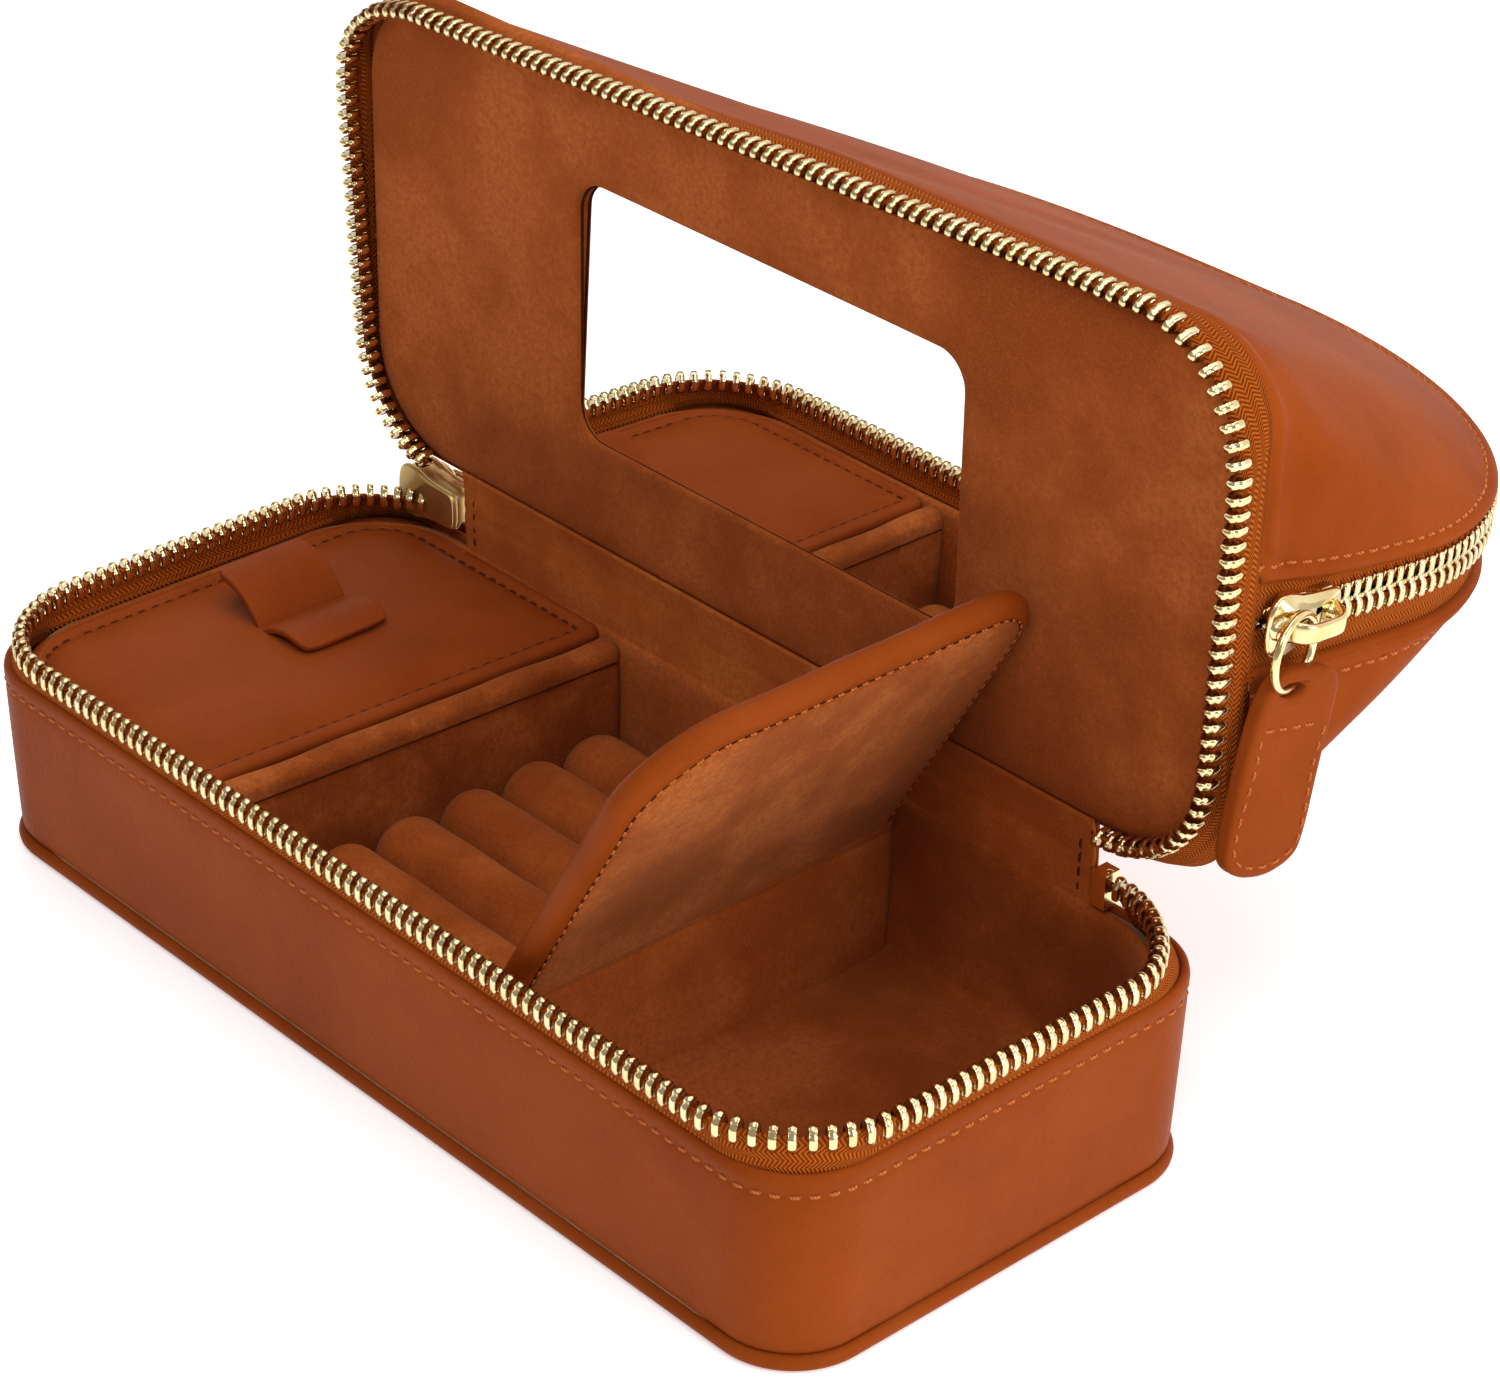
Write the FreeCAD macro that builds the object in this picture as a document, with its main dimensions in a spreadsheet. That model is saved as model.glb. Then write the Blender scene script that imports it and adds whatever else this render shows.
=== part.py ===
import FreeCAD, Part
import math
import os

# Leather jewellery case: a stiff tray with ring rolls, a pad and a flap-covered
# compartment, closed by a zipped lid that carries a soft dome-shaped bag.
# Frame: origin under the middle of the tray, X along the long side, Y to the
# hinge side, Z up, millimetres.  The lid is drawn closed and then turned open.

V = FreeCAD.Vector
ROT = FreeCAD.Rotation
PLC = FreeCAD.Placement

doc = FreeCAD.newDocument("jewellery_case")
dims = doc.addObject("Spreadsheet::Sheet", "dims")

SIZES = [
    # tray
    ("tray_len", 210.0), ("tray_wid", 93.0), ("tray_rad", 22.0), ("skin_rad", 14.0),
    ("leather", 1.6), ("board", 1.6), ("suede", 1.0),
    ("base_thk", 2.4), ("floor_thk", 2.0), ("rim_z", 36.2), ("board_top", 35.0),
    ("lining_top", 35.7), ("pipe_low", 0.3), ("pipe_top", 3.3), ("pipe_out", 0.7),
    ("pipe_fil", 1.2), ("rim_fil", 0.7),
    # main zip
    ("tape_thk", 0.8), ("tape_in", 2.0), ("tape_top", 40.2), ("tooth_top", 43.0),
    ("tooth_thk", 3.2), ("zip_left", 98.5), ("zip_right", 82.0),
    # hinge strip
    ("strip_len", 157.0), ("strip_thk", 0.8), ("strip_top", 47.1),
    ("hinge_y", 45.0), ("hinge_z", 50.8), ("lid_open", 90.0),
    # dividers, rolls, pad
    ("div_thk", 5.0), ("div_left_x", 39.2), ("div_left_top", 34.0),
    ("div_right_x", 32.0), ("div_right_top", 29.4), ("div_round", 2.3),
    ("roll_dia", 13.6), ("roll_pitch", 13.9), ("roll_z", 12.3),
    ("pad_len", 58.2), ("pad_wid", 84.0), ("pad_x", 71.3), ("pad_low", 27.0),
    ("pad_top", 33.6), ("pad_corner", 17.4), ("pad_round", 2.2), ("support_gap", 0.6),
    ("tab_wid", 19.0), ("tab_thk", 1.2), ("tab_y", 5.0), ("tab_z", 34.7),
    ("tab_a_x", 78.3), ("tab_a_len", 14.0), ("tab_a_deg", 30.0),
    ("tab_b_x", 76.7), ("tab_b_len", 12.0), ("tab_b_deg", 14.0), ("tab_corner", 3.0),
    # flap over the right compartment
    ("flap_x", 33.0), ("flap_z", 32.0), ("flap_deg", 60.0), ("flap_near", 2.9),
    ("flap_far", 66.5), ("flap_front", 41.0), ("flap_back", 39.6), ("flap_bevel", 30.0),
    ("flap_tip", 23.4), ("flap_thk", 5.8), ("flap_rad", 16.5), ("flap_in_cut", 10.0), ("flap_round", 2.2),
    ("flap_inset", 3.4), ("flap_pocket", 2.6), ("flap_board", 1.2), ("flap_suede", 1.6),
    ("knuckle", 2.3),
    # lid
    ("lid_tooth_low", 43.3), ("lid_tape_low", 46.1), ("lid_rim_z", 50.8),
    ("lid_panel_low", 48.0), ("lid_panel_len", 204.4), ("lid_panel_wid", 86.6),
    ("lid_panel_rad", 19.0), ("lid_board_thk", 2.0), ("lid_board_len", 199.2),
    ("lid_board_wid", 84.6), ("lid_board_rad", 18.0),
    ("win_len", 91.6), ("win_wid", 47.6), ("win_rad", 6.0),
    ("mirror_len", 95.0), ("mirror_wid", 51.0), ("mirror_thk", 1.6),
    # bag on the lid
    ("bag_top", 95.9), ("bag_end", 105.4), ("bag_flat", 49.0), ("bag_turn", 56.4),
    ("bag_spring", 39.5), ("bag_skin", 1.8), ("bag_turned", 4.0), ("bag_lean", 5.5), ("bag_off", 1.0),
    ("slot_half", 6.0), ("bag_tape_end", 104.4), ("bag_tape_thk", 0.8),
    ("chain_half", 2.6), ("chain_gap", 0.5), ("chain_out", 106.0), ("chain_in", 103.0),
    # sliders and pulls
    ("sl_low", 0.8), ("sl_len", 16.0), ("sl_nose", 10.0), ("sl_tail", 7.4),
    ("sl_plate", 1.3), ("sl_gap", 0.3), ("fin", 0.4), ("bail_wid", 2.4), ("bail_rise", 4.0),
    ("bail_bar", 1.2), ("ring_rad", 6.0), ("ring_wire", 0.75), ("ring_drop", 3.6),
    ("ring_at", 4.9), ("pull_wid", 15.5), ("pull_end", 41.0), ("pull_thk", 3.0),
    ("pull_start", 11.2), ("pull_loop", 2.4), ("pull_bore", 1.4), ("pull_neck", 6.0),
    ("pull_tilt", 4.5), ("pull_round", 4.0),
    ("main_x", 97.8), ("main_y", 44.9), ("main_z", 42.0),
]
for row, (alias, value) in enumerate(SIZES, start=1):
    dims.set("A%d" % row, alias)
    dims.set("B%d" % row, repr(value))
    dims.setAlias("B%d" % row, alias)
doc.recompute()


class Size:
    """A length that knows both its formula on the sheet and its value."""

    def __init__(self, formula, value):
        self.formula, self.value = formula, float(value)

    @staticmethod
    def of(x):
        return x if isinstance(x, Size) else Size(repr(float(x)), x)

    def __add__(self, o):
        o = Size.of(o)
        return Size("(%s + %s)" % (self.formula, o.formula), self.value + o.value)

    def __sub__(self, o):
        o = Size.of(o)
        return Size("(%s - %s)" % (self.formula, o.formula), self.value - o.value)

    def __rmul__(self, o):
        o = Size.of(o)
        return Size("(%s * %s)" % (o.formula, self.formula), self.value * o.value)


D = {alias: Size("dims." + alias, getattr(dims, alias)) for alias, _ in SIZES}
N = {alias: float(getattr(dims, alias)) for alias, _ in SIZES}
MADE = []


def bind(obj, prop, size):
    obj.setExpression(prop, Size.of(size).formula)


def keep(obj, label):
    obj.Label = label
    MADE.append(obj)
    return obj


def plane(body, role):
    return [f for f in body.Origin.OriginFeatures if f.Role == role][0]


def new_body(label, place=None):
    body = doc.addObject("PartDesign::Body", label)
    keep(body, label)
    if place is not None:
        body.Placement = place
    return body


def new_sketch(body, name, low=0.0, role="XY_Plane"):
    sk = body.newObject("Sketcher::SketchObject", name)
    sk.AttachmentSupport = [(plane(body, role), "")]
    sk.MapMode = "FlatFace"
    low = Size.of(low)
    sk.AttachmentOffset = PLC(V(0, 0, low.value), ROT())
    if low.value:
        bind(sk, "AttachmentOffset.Base.z", low)
    return sk


def constrain(sk, name, *args):
    import Sketcher
    i = sk.addConstraint(Sketcher.Constraint(*args))
    if name:
        sk.renameConstraint(i, name)
    return i


def outline(sk, tag, length, width, radius=None):
    """A rectangle about the sketch's origin, with rounded corners if radius is given."""
    length, width = Size.of(length), Size.of(width)
    a, b = length.value / 2, width.value / 2
    r = Size.of(radius).value if radius is not None else 0.0
    ring = []
    pts = [((-a + r, -b), (a - r, -b)), ((a, -b + r), (a, b - r)),
           ((a - r, b), (-a + r, b)), ((-a, b - r), (-a, -b + r))]
    mids = [((a - r, -b + r), -90), ((a - r, b - r), 0), ((-a + r, b - r), 90), ((-a + r, -b + r), 180)]
    for k in range(4):
        (x0, y0), (x1, y1) = pts[k]
        ring.append(sk.addGeometry(Part.LineSegment(V(x0, y0, 0), V(x1, y1, 0)), False))
        if r:
            (cx, cy), st = mids[k]
            ring.append(sk.addGeometry(Part.ArcOfCircle(
                Part.Circle(V(cx, cy, 0), V(0, 0, 1), r), math.radians(st), math.radians(st + 90)), False))
    n = len(ring)
    for k in range(n):
        kind = "Tangent" if r else "Coincident"
        constrain(sk, "", kind, ring[k], 2, ring[(k + 1) % n], 1)
    lines = ring[::2] if r else ring
    constrain(sk, "", "Horizontal", lines[0])
    constrain(sk, "", "Vertical", lines[1])
    constrain(sk, "", "Horizontal", lines[2])
    constrain(sk, "", "Vertical", lines[3])
    constrain(sk, "", "Symmetric", lines[0], 1, lines[2], 1, -1, 1)
    constrain(sk, tag + "_len", "DistanceX", lines[3], 1, lines[1], 1, length.value)
    constrain(sk, tag + "_wid", "DistanceY", lines[0], 1, lines[2], 1, width.value)
    bind(sk, "Constraints." + tag + "_len", length)
    bind(sk, "Constraints." + tag + "_wid", width)
    if r:
        arcs = ring[1::2]
        for k in arcs[1:]:
            constrain(sk, "", "Equal", arcs[0], k)
        constrain(sk, tag + "_rad", "Radius", arcs[0], r)
        bind(sk, "Constraints." + tag + "_rad", radius)


def pad(body, sk, height, name, mid=False):
    f = body.newObject("PartDesign::Pad", name)
    f.Profile = sk
    height = Size.of(height)
    f.Length = height.value
    bind(f, "Length", height)
    if mid:
        f.Midplane = True
    sk.Visibility = False
    doc.recompute()
    return f


def pocket(body, sk, depth, name, reverse=False):
    before = body.Shape.Volume
    f = body.newObject("PartDesign::Pocket", name)
    f.Profile = sk
    depth = Size.of(depth)
    f.Length = depth.value
    bind(f, "Length", depth)
    f.Reversed = reverse
    doc.recompute()
    if not body.Shape.Volume < before - 0.01:
        raise RuntimeError("no cut made by " + name)
    return f


def round_edges(body, feat, pick, radius, name):
    edges = ["Edge%d" % (i + 1) for i, e in enumerate(feat.Shape.Edges) if pick(e)]
    f = body.newObject("PartDesign::Fillet", name)
    f.Base = (feat, edges)
    radius = Size.of(radius)
    f.Radius = radius.value
    bind(f, "Radius", radius)
    doc.recompute()
    return f


def at_z(z, tol=0.01):
    return lambda e: abs(e.BoundBox.ZMin - z) < tol and abs(e.BoundBox.ZMax - z) < tol


def ring_body(label, outer, low, height, inner=None, place=None):
    body = new_body(label, place)
    sk = new_sketch(body, label + "_sk", low)
    outline(sk, "outer", *outer)
    if inner:
        outline(sk, "inner", *inner)
    f = pad(body, sk, height, label + "_pad")
    return body, f


def inset(amount):
    """The tray's outline drawn in by an amount on every side."""
    return (D["tray_len"] - 2 * Size.of(amount), D["tray_wid"] - 2 * Size.of(amount),
            D["tray_rad"] - Size.of(amount))


def cut_back(body, label, reach_left, reach_right, low, height):
    """Takes away the stretch along the hinge side between two X positions."""
    sk = new_sketch(body, label + "_end_sk", low)
    x0, x1 = -Size.of(reach_left).value, Size.of(reach_right).value
    y0, y1 = 30.0, 60.0
    g = [sk.addGeometry(Part.LineSegment(V(*p, 0), V(*q, 0)), False) for p, q in
         (((x0, y0), (x1, y0)), ((x1, y0), (x1, y1)), ((x1, y1), (x0, y1)), ((x0, y1), (x0, y0)))]
    for k in range(4):
        constrain(sk, "", "Coincident", g[k], 2, g[(k + 1) % 4], 1)
    for k in (0, 2):
        constrain(sk, "", "Horizontal", g[k])
    for k in (1, 3):
        constrain(sk, "", "Vertical", g[k])
    constrain(sk, "left", "DistanceX", g[0], 1, -1, 1, -x0)
    constrain(sk, "right", "DistanceX", -1, 1, g[0], 2, x1)
    constrain(sk, "near", "DistanceY", -1, 1, g[0], 1, y0)
    constrain(sk, "far", "DistanceY", -1, 1, g[2], 1, y1)
    bind(sk, "Constraints.left", reach_left)
    bind(sk, "Constraints.right", reach_right)
    return pocket(body, sk, height, label + "_end", reverse=True)


def block(label, length, width, low, height, place):
    body = new_body(label, place)
    sk = new_sketch(body, label + "_sk", low)
    outline(sk, "box", length, width)
    return body, pad(body, sk, height, label + "_pad")


OPEN = PLC(V(0, 0, 0), ROT(V(1, 0, 0), -N["lid_open"]), V(0, N["hinge_y"], N["hinge_z"]))

# ---------------------------------------------------------------- tray
skin, wall = D["leather"], D["leather"] + D["board"]
full = wall + D["suede"]

ring_body("base_panel", inset(skin), 0.0, D["base_thk"])

body, f = ring_body("base_piping", (D["tray_len"] + 2 * D["pipe_out"], D["tray_wid"] + 2 * D["pipe_out"],
                                    D["skin_rad"] + D["pipe_out"]),
                    D["pipe_low"], D["pipe_top"] - D["pipe_low"], inset(skin))
big = N["tray_len"] / 2 + N["pipe_out"]
far_edge = lambda e: any(abs(abs(v.Y) - N["tray_wid"] / 2 - N["pipe_out"]) < 0.01 or
                         abs(abs(v.X) - big) < 0.01 for v in e.Vertexes)
round_edges(body, f, lambda e: (at_z(N["pipe_low"])(e) or at_z(N["pipe_top"])(e)) and far_edge(e),
            D["pipe_fil"], "base_piping_round")

body, f = ring_body("tray_wall", (D["tray_len"], D["tray_wid"], D["skin_rad"]), D["pipe_top"], D["rim_z"] - D["pipe_top"], inset(skin))
round_edges(body, f, at_z(N["rim_z"]), D["rim_fil"], "tray_wall_round")

body, f = ring_body("tray_board", inset(skin), D["base_thk"], D["board_top"] - D["base_thk"])
sk = new_sketch(body, "tray_board_hollow_sk", D["base_thk"] + D["floor_thk"])
outline(sk, "hollow", *inset(wall))
pocket(body, sk, D["board_top"], "tray_board_hollow", reverse=True)

floor = D["base_thk"] + D["floor_thk"]
body, f = ring_body("tray_lining", inset(wall), floor, D["lining_top"] - floor)
sk = new_sketch(body, "tray_lining_hollow_sk", floor + D["suede"])
outline(sk, "hollow", *inset(full))
pocket(body, sk, D["lining_top"], "tray_lining_hollow", reverse=True)
FLOOR = (floor + D["suede"]).value

tin, tout = D["tape_in"], D["tape_in"] + D["tape_thk"]
mid_in = D["tape_in"] + 0.5 * D["tape_thk"]
body, f = ring_body("tray_zip_tape", inset(tin), D["board_top"], D["tape_top"] - D["board_top"], inset(tout))
cut_back(body, "tray_zip_tape", D["zip_left"], D["zip_right"], D["board_top"], 20.0)
body, f = ring_body("tray_zip_teeth", inset(mid_in - 0.5 * D["tooth_thk"]), D["tape_top"],
                    D["tooth_top"] - D["tape_top"], inset(mid_in + 0.5 * D["tooth_thk"]))
cut_back(body, "tray_zip_teeth", D["zip_left"], D["zip_right"], D["tape_top"], 20.0)

# the two-layer strip that hinges the lid along the back
y_out = N["tray_wid"] / 2 - N["leather"]
block("hinge_strip_outer", D["strip_len"], D["strip_thk"], D["board_top"], D["strip_top"] - D["board_top"],
      PLC(V(0, y_out - N["strip_thk"] / 2, 0), ROT()))
block("hinge_strip_inner", D["strip_len"], D["strip_thk"], D["board_top"], D["strip_top"] - D["board_top"],
      PLC(V(0, y_out - 1.5 * N["strip_thk"], 0), ROT()))
stop = doc.addObject("Part::Box", "zip_end_stop")
for prop, size in (("Length", 3.0), ("Width", 3.4), ("Height", D["tooth_top"] - D["rim_z"] - 0.4)):
    setattr(stop, prop, Size.of(size).value)
    bind(stop, prop, size)
stop.Placement = PLC(V(N["zip_right"] - 3.2, N["tray_wid"] / 2 - N["tape_in"] - 2.1, N["rim_z"] + 0.2), ROT())
keep(stop, "zip_end_stop")

# dividers and the ring rolls between them
inner_wid = D["tray_wid"] - 2 * full
body, f = block("divider_left", D["div_thk"], inner_wid, FLOOR, D["div_left_top"] - FLOOR,
                PLC(V(-N["div_left_x"], 0, 0), ROT()))
long_top = lambda z: (lambda e: at_z(z)(e) and e.BoundBox.YLength > 20)
round_edges(body, f, long_top(N["div_left_top"]), D["div_round"], "divider_left_round")
body, f = block("divider_right", D["div_thk"], inner_wid, FLOOR, D["div_right_top"] - FLOOR,
                PLC(V(N["div_right_x"], 0, 0), ROT()))
x_from = -N["div_left_x"] + N["div_thk"] / 2 + 0.1
x_to = N["div_right_x"] - N["div_thk"] / 2 - 0.1
rolls = []
for k in range(6):
    c = doc.addObject("Part::Cylinder", "roll_%d" % (k + 1))
    c.Radius, c.Height = N["roll_dia"] / 2, x_to - x_from
    bind(c, "Radius", 0.5 * D["roll_dia"])
    bind(c, "Height", D["div_left_x"] + D["div_right_x"] - D["div_thk"] - 0.2)
    c.Placement = PLC(V(x_from, (k - 2.5) * N["roll_pitch"], N["roll_z"]), ROT(V(0, 1, 0), 90))
    rolls.append(c)
group = doc.addObject("Part::Compound", "ring_rolls")
group.Links = rolls
keep(group, "ring_rolls")

# the leather pad over the left end, on its foam block
up = lambda e: e.BoundBox.ZLength > 3 and e.BoundBox.XLength < 0.01 and e.BoundBox.YLength < 0.01
left_up = lambda e: up(e) and e.BoundBox.XMax < -5
body, f = block("pad_support", D["pad_len"] - 2 * D["support_gap"], D["pad_wid"] - 2 * D["support_gap"], FLOOR,
                D["pad_low"] - FLOOR, PLC(V(-N["pad_x"], 0, 0), ROT()))
round_edges(body, f, left_up, D["pad_corner"], "pad_support_corner")
body, f = block("pendant_pad", D["pad_len"], D["pad_wid"], D["pad_low"], D["pad_top"] - D["pad_low"],
                PLC(V(-N["pad_x"], 0, 0), ROT()))
f = round_edges(body, f, left_up, D["pad_corner"], "pendant_pad_corner")
round_edges(body, f, at_z(N["pad_top"]), D["pad_round"], "pendant_pad_round")


def pad_tab(label, x, length, deg, way):
    """A leather tab that stands out of the slit in the pad, drawn flat along +X and turned up."""
    body = new_body(label)
    sk = new_sketch(body, label + "_sk", -0.5 * D["tab_thk"])
    outline(sk, "tab", length, D["tab_wid"])
    f = pad(body, sk, D["tab_thk"], label + "_pad")
    half = Size.of(length).value / 2
    round_edges(body, f, lambda e: e.BoundBox.ZLength > 0.5 and e.BoundBox.XLength < 0.01
                and e.BoundBox.YLength < 0.01 and e.BoundBox.XMax > half - 0.1, D["tab_corner"], label + "_corner")
    turn = ROT(V(0, 0, 1), 0 if way > 0 else 180)
    lift = ROT(V(0, 1, 0), -deg * way)
    body.Placement = PLC(V(x, N["tab_y"], N["tab_z"]), lift).multiply(
        PLC(V(0, 0, 0), turn)).multiply(PLC(V(half, 0, 0), ROT()))
    return body


pad_tab("pad_tab_a", -N["tab_a_x"], D["tab_a_len"], N["tab_a_deg"], -1)
pad_tab("pad_tab_b", -N["tab_b_x"], D["tab_b_len"], N["tab_b_deg"], 1)

# ---------------------------------------------------------------- flap
knuckle = doc.addObject("Part::Cylinder", "flap_hinge")
knuckle.Radius, knuckle.Height = N["knuckle"], inner_wid.value - 1.0
bind(knuckle, "Radius", D["knuckle"])
bind(knuckle, "Height", inner_wid - 1.0)
knuckle.Placement = PLC(V(N["flap_x"], -(inner_wid.value - 1.0) / 2, N["flap_z"] + 0.0), ROT(V(1, 0, 0), -90))
keep(knuckle, "flap_hinge")

LIFT = PLC(V(N["flap_x"], 0, N["flap_z"]), ROT(V(0, -1, 0), N["flap_deg"]))


def flap_sketch(body, name, low, draw_in):
    """The flap's outline with its rear free corner bevelled; the inner pieces' outline is drawn in and bevelled at the front too."""
    sk = new_sketch(body, name, low)
    i = Size.of(draw_in).value
    x0, x1 = N["flap_near"] + i, N["flap_far"] - i
    y0, y1 = -N["flap_front"] + i, N["flap_back"] - i
    xb, yt = N["flap_bevel"] - i * 0.2, N["flap_tip"] - i * 1.2
    c = N["flap_in_cut"] if i > 0 else 0.0
    end = [(x1 - c, y0), (x1, y0 + c)] if i > 0 else [(x1, y0)]
    pts = [(x0, y0)] + end + [(x1, yt), (xb, y1), (x0, y1)]
    n = len(pts)
    g = [sk.addGeometry(Part.LineSegment(V(*pts[k], 0), V(*pts[(k + 1) % n], 0)), False) for k in range(n)]
    for k in range(n):
        constrain(sk, "", "Coincident", g[k], 2, g[(k + 1) % n], 1)
    for k in (0, n - 2):
        constrain(sk, "", "Horizontal", g[k])
    for k in (n - 4, n - 1):
        constrain(sk, "", "Vertical", g[k])
    constrain(sk, "near", "DistanceX", -1, 1, g[0], 1, x0)
    constrain(sk, "far", "DistanceX", -1, 1, g[n - 4], 1, x1)
    constrain(sk, "front", "DistanceY", g[0], 1, -1, 1, -y0)
    constrain(sk, "rear", "DistanceY", -1, 1, g[n - 1], 1, y1)
    constrain(sk, "bevel", "DistanceX", -1, 1, g[n - 3], 2, xb)
    constrain(sk, "tip", "DistanceY", -1, 1, g[n - 4], 2, yt)
    if i > 0:
        constrain(sk, "cut_x", "DistanceX", g[1], 1, g[1], 2, c)
        constrain(sk, "cut_y", "DistanceY", g[1], 1, g[1], 2, c)
        bind(sk, "Constraints.cut_x", D["flap_in_cut"])
        bind(sk, "Constraints.cut_y", D["flap_in_cut"])
    bind(sk, "Constraints.near", D["flap_near"] + i)
    bind(sk, "Constraints.far", D["flap_far"] - i)
    bind(sk, "Constraints.front", D["flap_front"] - i)
    bind(sk, "Constraints.rear", D["flap_back"] - i)
    bind(sk, "Constraints.bevel", D["flap_bevel"] - 0.2 * i)
    bind(sk, "Constraints.tip", D["flap_tip"] - 1.2 * i)
    return sk


half_thk = 0.5 * D["flap_thk"]
body = new_body("flap_cover")
f = pad(body, flap_sketch(body, "flap_cover_sk", -1.0 * half_thk, 0.0), D["flap_thk"], "flap_cover_pad")
front_corner = lambda e: up(e) and e.BoundBox.XMax > N["flap_far"] - 0.1 and e.BoundBox.YMax < 0
f = round_edges(body, f, front_corner, D["flap_rad"], "flap_cover_corner")
f = round_edges(body, f, lambda e: (at_z(half_thk.value)(e) or at_z(-half_thk.value)(e))
                and e.BoundBox.XMax > N["flap_near"] + 0.5, D["flap_round"], "flap_cover_round")
sk = flap_sketch(body, "flap_cover_hollow_sk", -1.0 * half_thk, D["flap_inset"])
pocket(body, sk, D["flap_pocket"], "flap_cover_hollow", reverse=True)
body.Placement = LIFT
low = Size.of(D["flap_pocket"] - half_thk) - D["flap_board"]
body = new_body("flap_board")
f = pad(body, flap_sketch(body, "flap_board_sk", low, D["flap_inset"] + 0.15), D["flap_board"], "flap_board_pad")
body.Placement = LIFT
body = new_body("flap_suede")
f = pad(body, flap_sketch(body, "flap_suede_sk", low - D["flap_suede"], D["flap_inset"] + 0.15),
        D["flap_suede"], "flap_suede_pad")
body.Placement = LIFT

# ---------------------------------------------------------------- lid
body, f = ring_body("lid_zip_teeth", inset(mid_in - 0.5 * D["tooth_thk"]), D["lid_tooth_low"],
                    D["lid_tape_low"] - D["lid_tooth_low"], inset(mid_in + 0.5 * D["tooth_thk"]))
cut_back(body, "lid_zip_teeth", D["zip_left"], D["zip_right"], D["lid_tooth_low"], 20.0)
body.Placement = OPEN
body, f = ring_body("lid_zip_tape", inset(tin), D["lid_tape_low"], D["lid_rim_z"] - D["lid_tape_low"], inset(tout))
cut_back(body, "lid_zip_tape", D["zip_left"], D["zip_right"], D["lid_tape_low"], 20.0)
body.Placement = OPEN

panel = (D["lid_panel_len"], D["lid_panel_wid"], D["lid_panel_rad"])
body, f = ring_body("lid_lining", panel, D["lid_panel_low"], D["lid_rim_z"] - D["lid_panel_low"],
                    (D["win_len"], D["win_wid"], D["win_rad"]))
sk = new_sketch(body, "lid_lining_seat_sk", D["lid_rim_z"] - D["mirror_thk"])
outline(sk, "seat", D["mirror_len"] + 0.2, D["mirror_wid"] + 0.2, D["win_rad"] + 1.8)
pocket(body, sk, 20.0, "lid_lining_seat", reverse=True)
body.Placement = OPEN
body, f = ring_body("mirror", (D["mirror_len"], D["mirror_wid"], D["win_rad"] + 1.7),
                    D["lid_rim_z"] - D["mirror_thk"], D["mirror_thk"])
body.Placement = OPEN
body, f = ring_body("lid_board", (D["lid_board_len"], D["lid_board_wid"], D["lid_board_rad"]), D["lid_rim_z"],
                    D["lid_board_thk"])
body.Placement = OPEN

# ---------------------------------------------------------------- bag
# Heights are counted from the lid's rim.  Each side of the bag is one leather
# panel that runs straight from the rounded rim of the lid to one edge of the
# zip's arch.  The bag leans a little to the hinge side as it stands away from
# the open lid.
LEAN = PLC(V(0, -N["bag_off"], N["lid_rim_z"]), ROT(V(1, 0, 0), -N["bag_lean"]))
BAG = OPEN.multiply(LEAN)
TAN = math.tan(math.radians(N["bag_lean"]))
COS = math.cos(math.radians(N["bag_lean"]))


def feature(label, shape, place):
    o = doc.addObject("Part::Feature", label)
    o.Shape = shape
    o.Placement = place
    return keep(o, label)


def line(p, q):
    return Part.LineSegment(p, q).toShape()


def curve(p, m, q):
    return Part.Arc(p, m, q).toShape()


def rim_points(draw_in, sign, y0):
    """Half of the lid's rim, from one end of the bag round to the other."""
    x, w = N["bag_end"] - draw_in, N["tray_wid"] / 2 + 0.2 - draw_in
    r = N["skin_rad"] + 0.2 - draw_in
    c = r * math.sqrt(0.5)
    z = N["lid_rim_z"]
    right = [V(x, y0, z), V(x, sign * (w - r), z), V(x - r + c, sign * (w - r + c), z), V(x - r, sign * w, z)]
    left = [V(-p.x, p.y, p.z) for p in reversed(right)]
    return right + left


def arch_points(draw_in, v, h0):
    """One edge of the zip's arch, from one end of the bag over its top to the other."""
    x, r = N["bag_end"] - draw_in, N["bag_turn"] - draw_in
    c = r * math.sqrt(0.5)
    f, s = x - r, N["bag_spring"]
    right = [V(x, v, h0), V(x, v, s), V(f + c, v, s + c), V(f, v, s + r)]
    left = [V(-p.x, p.y, p.z) for p in reversed(right)]
    return [LEAN.multVec(p) for p in right + left]


def runs(p):
    return [line(p[0], p[1]), curve(p[1], p[2], p[3]), line(p[3], p[4]), curve(p[4], p[5], p[6]), line(p[6], p[7])]


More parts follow.
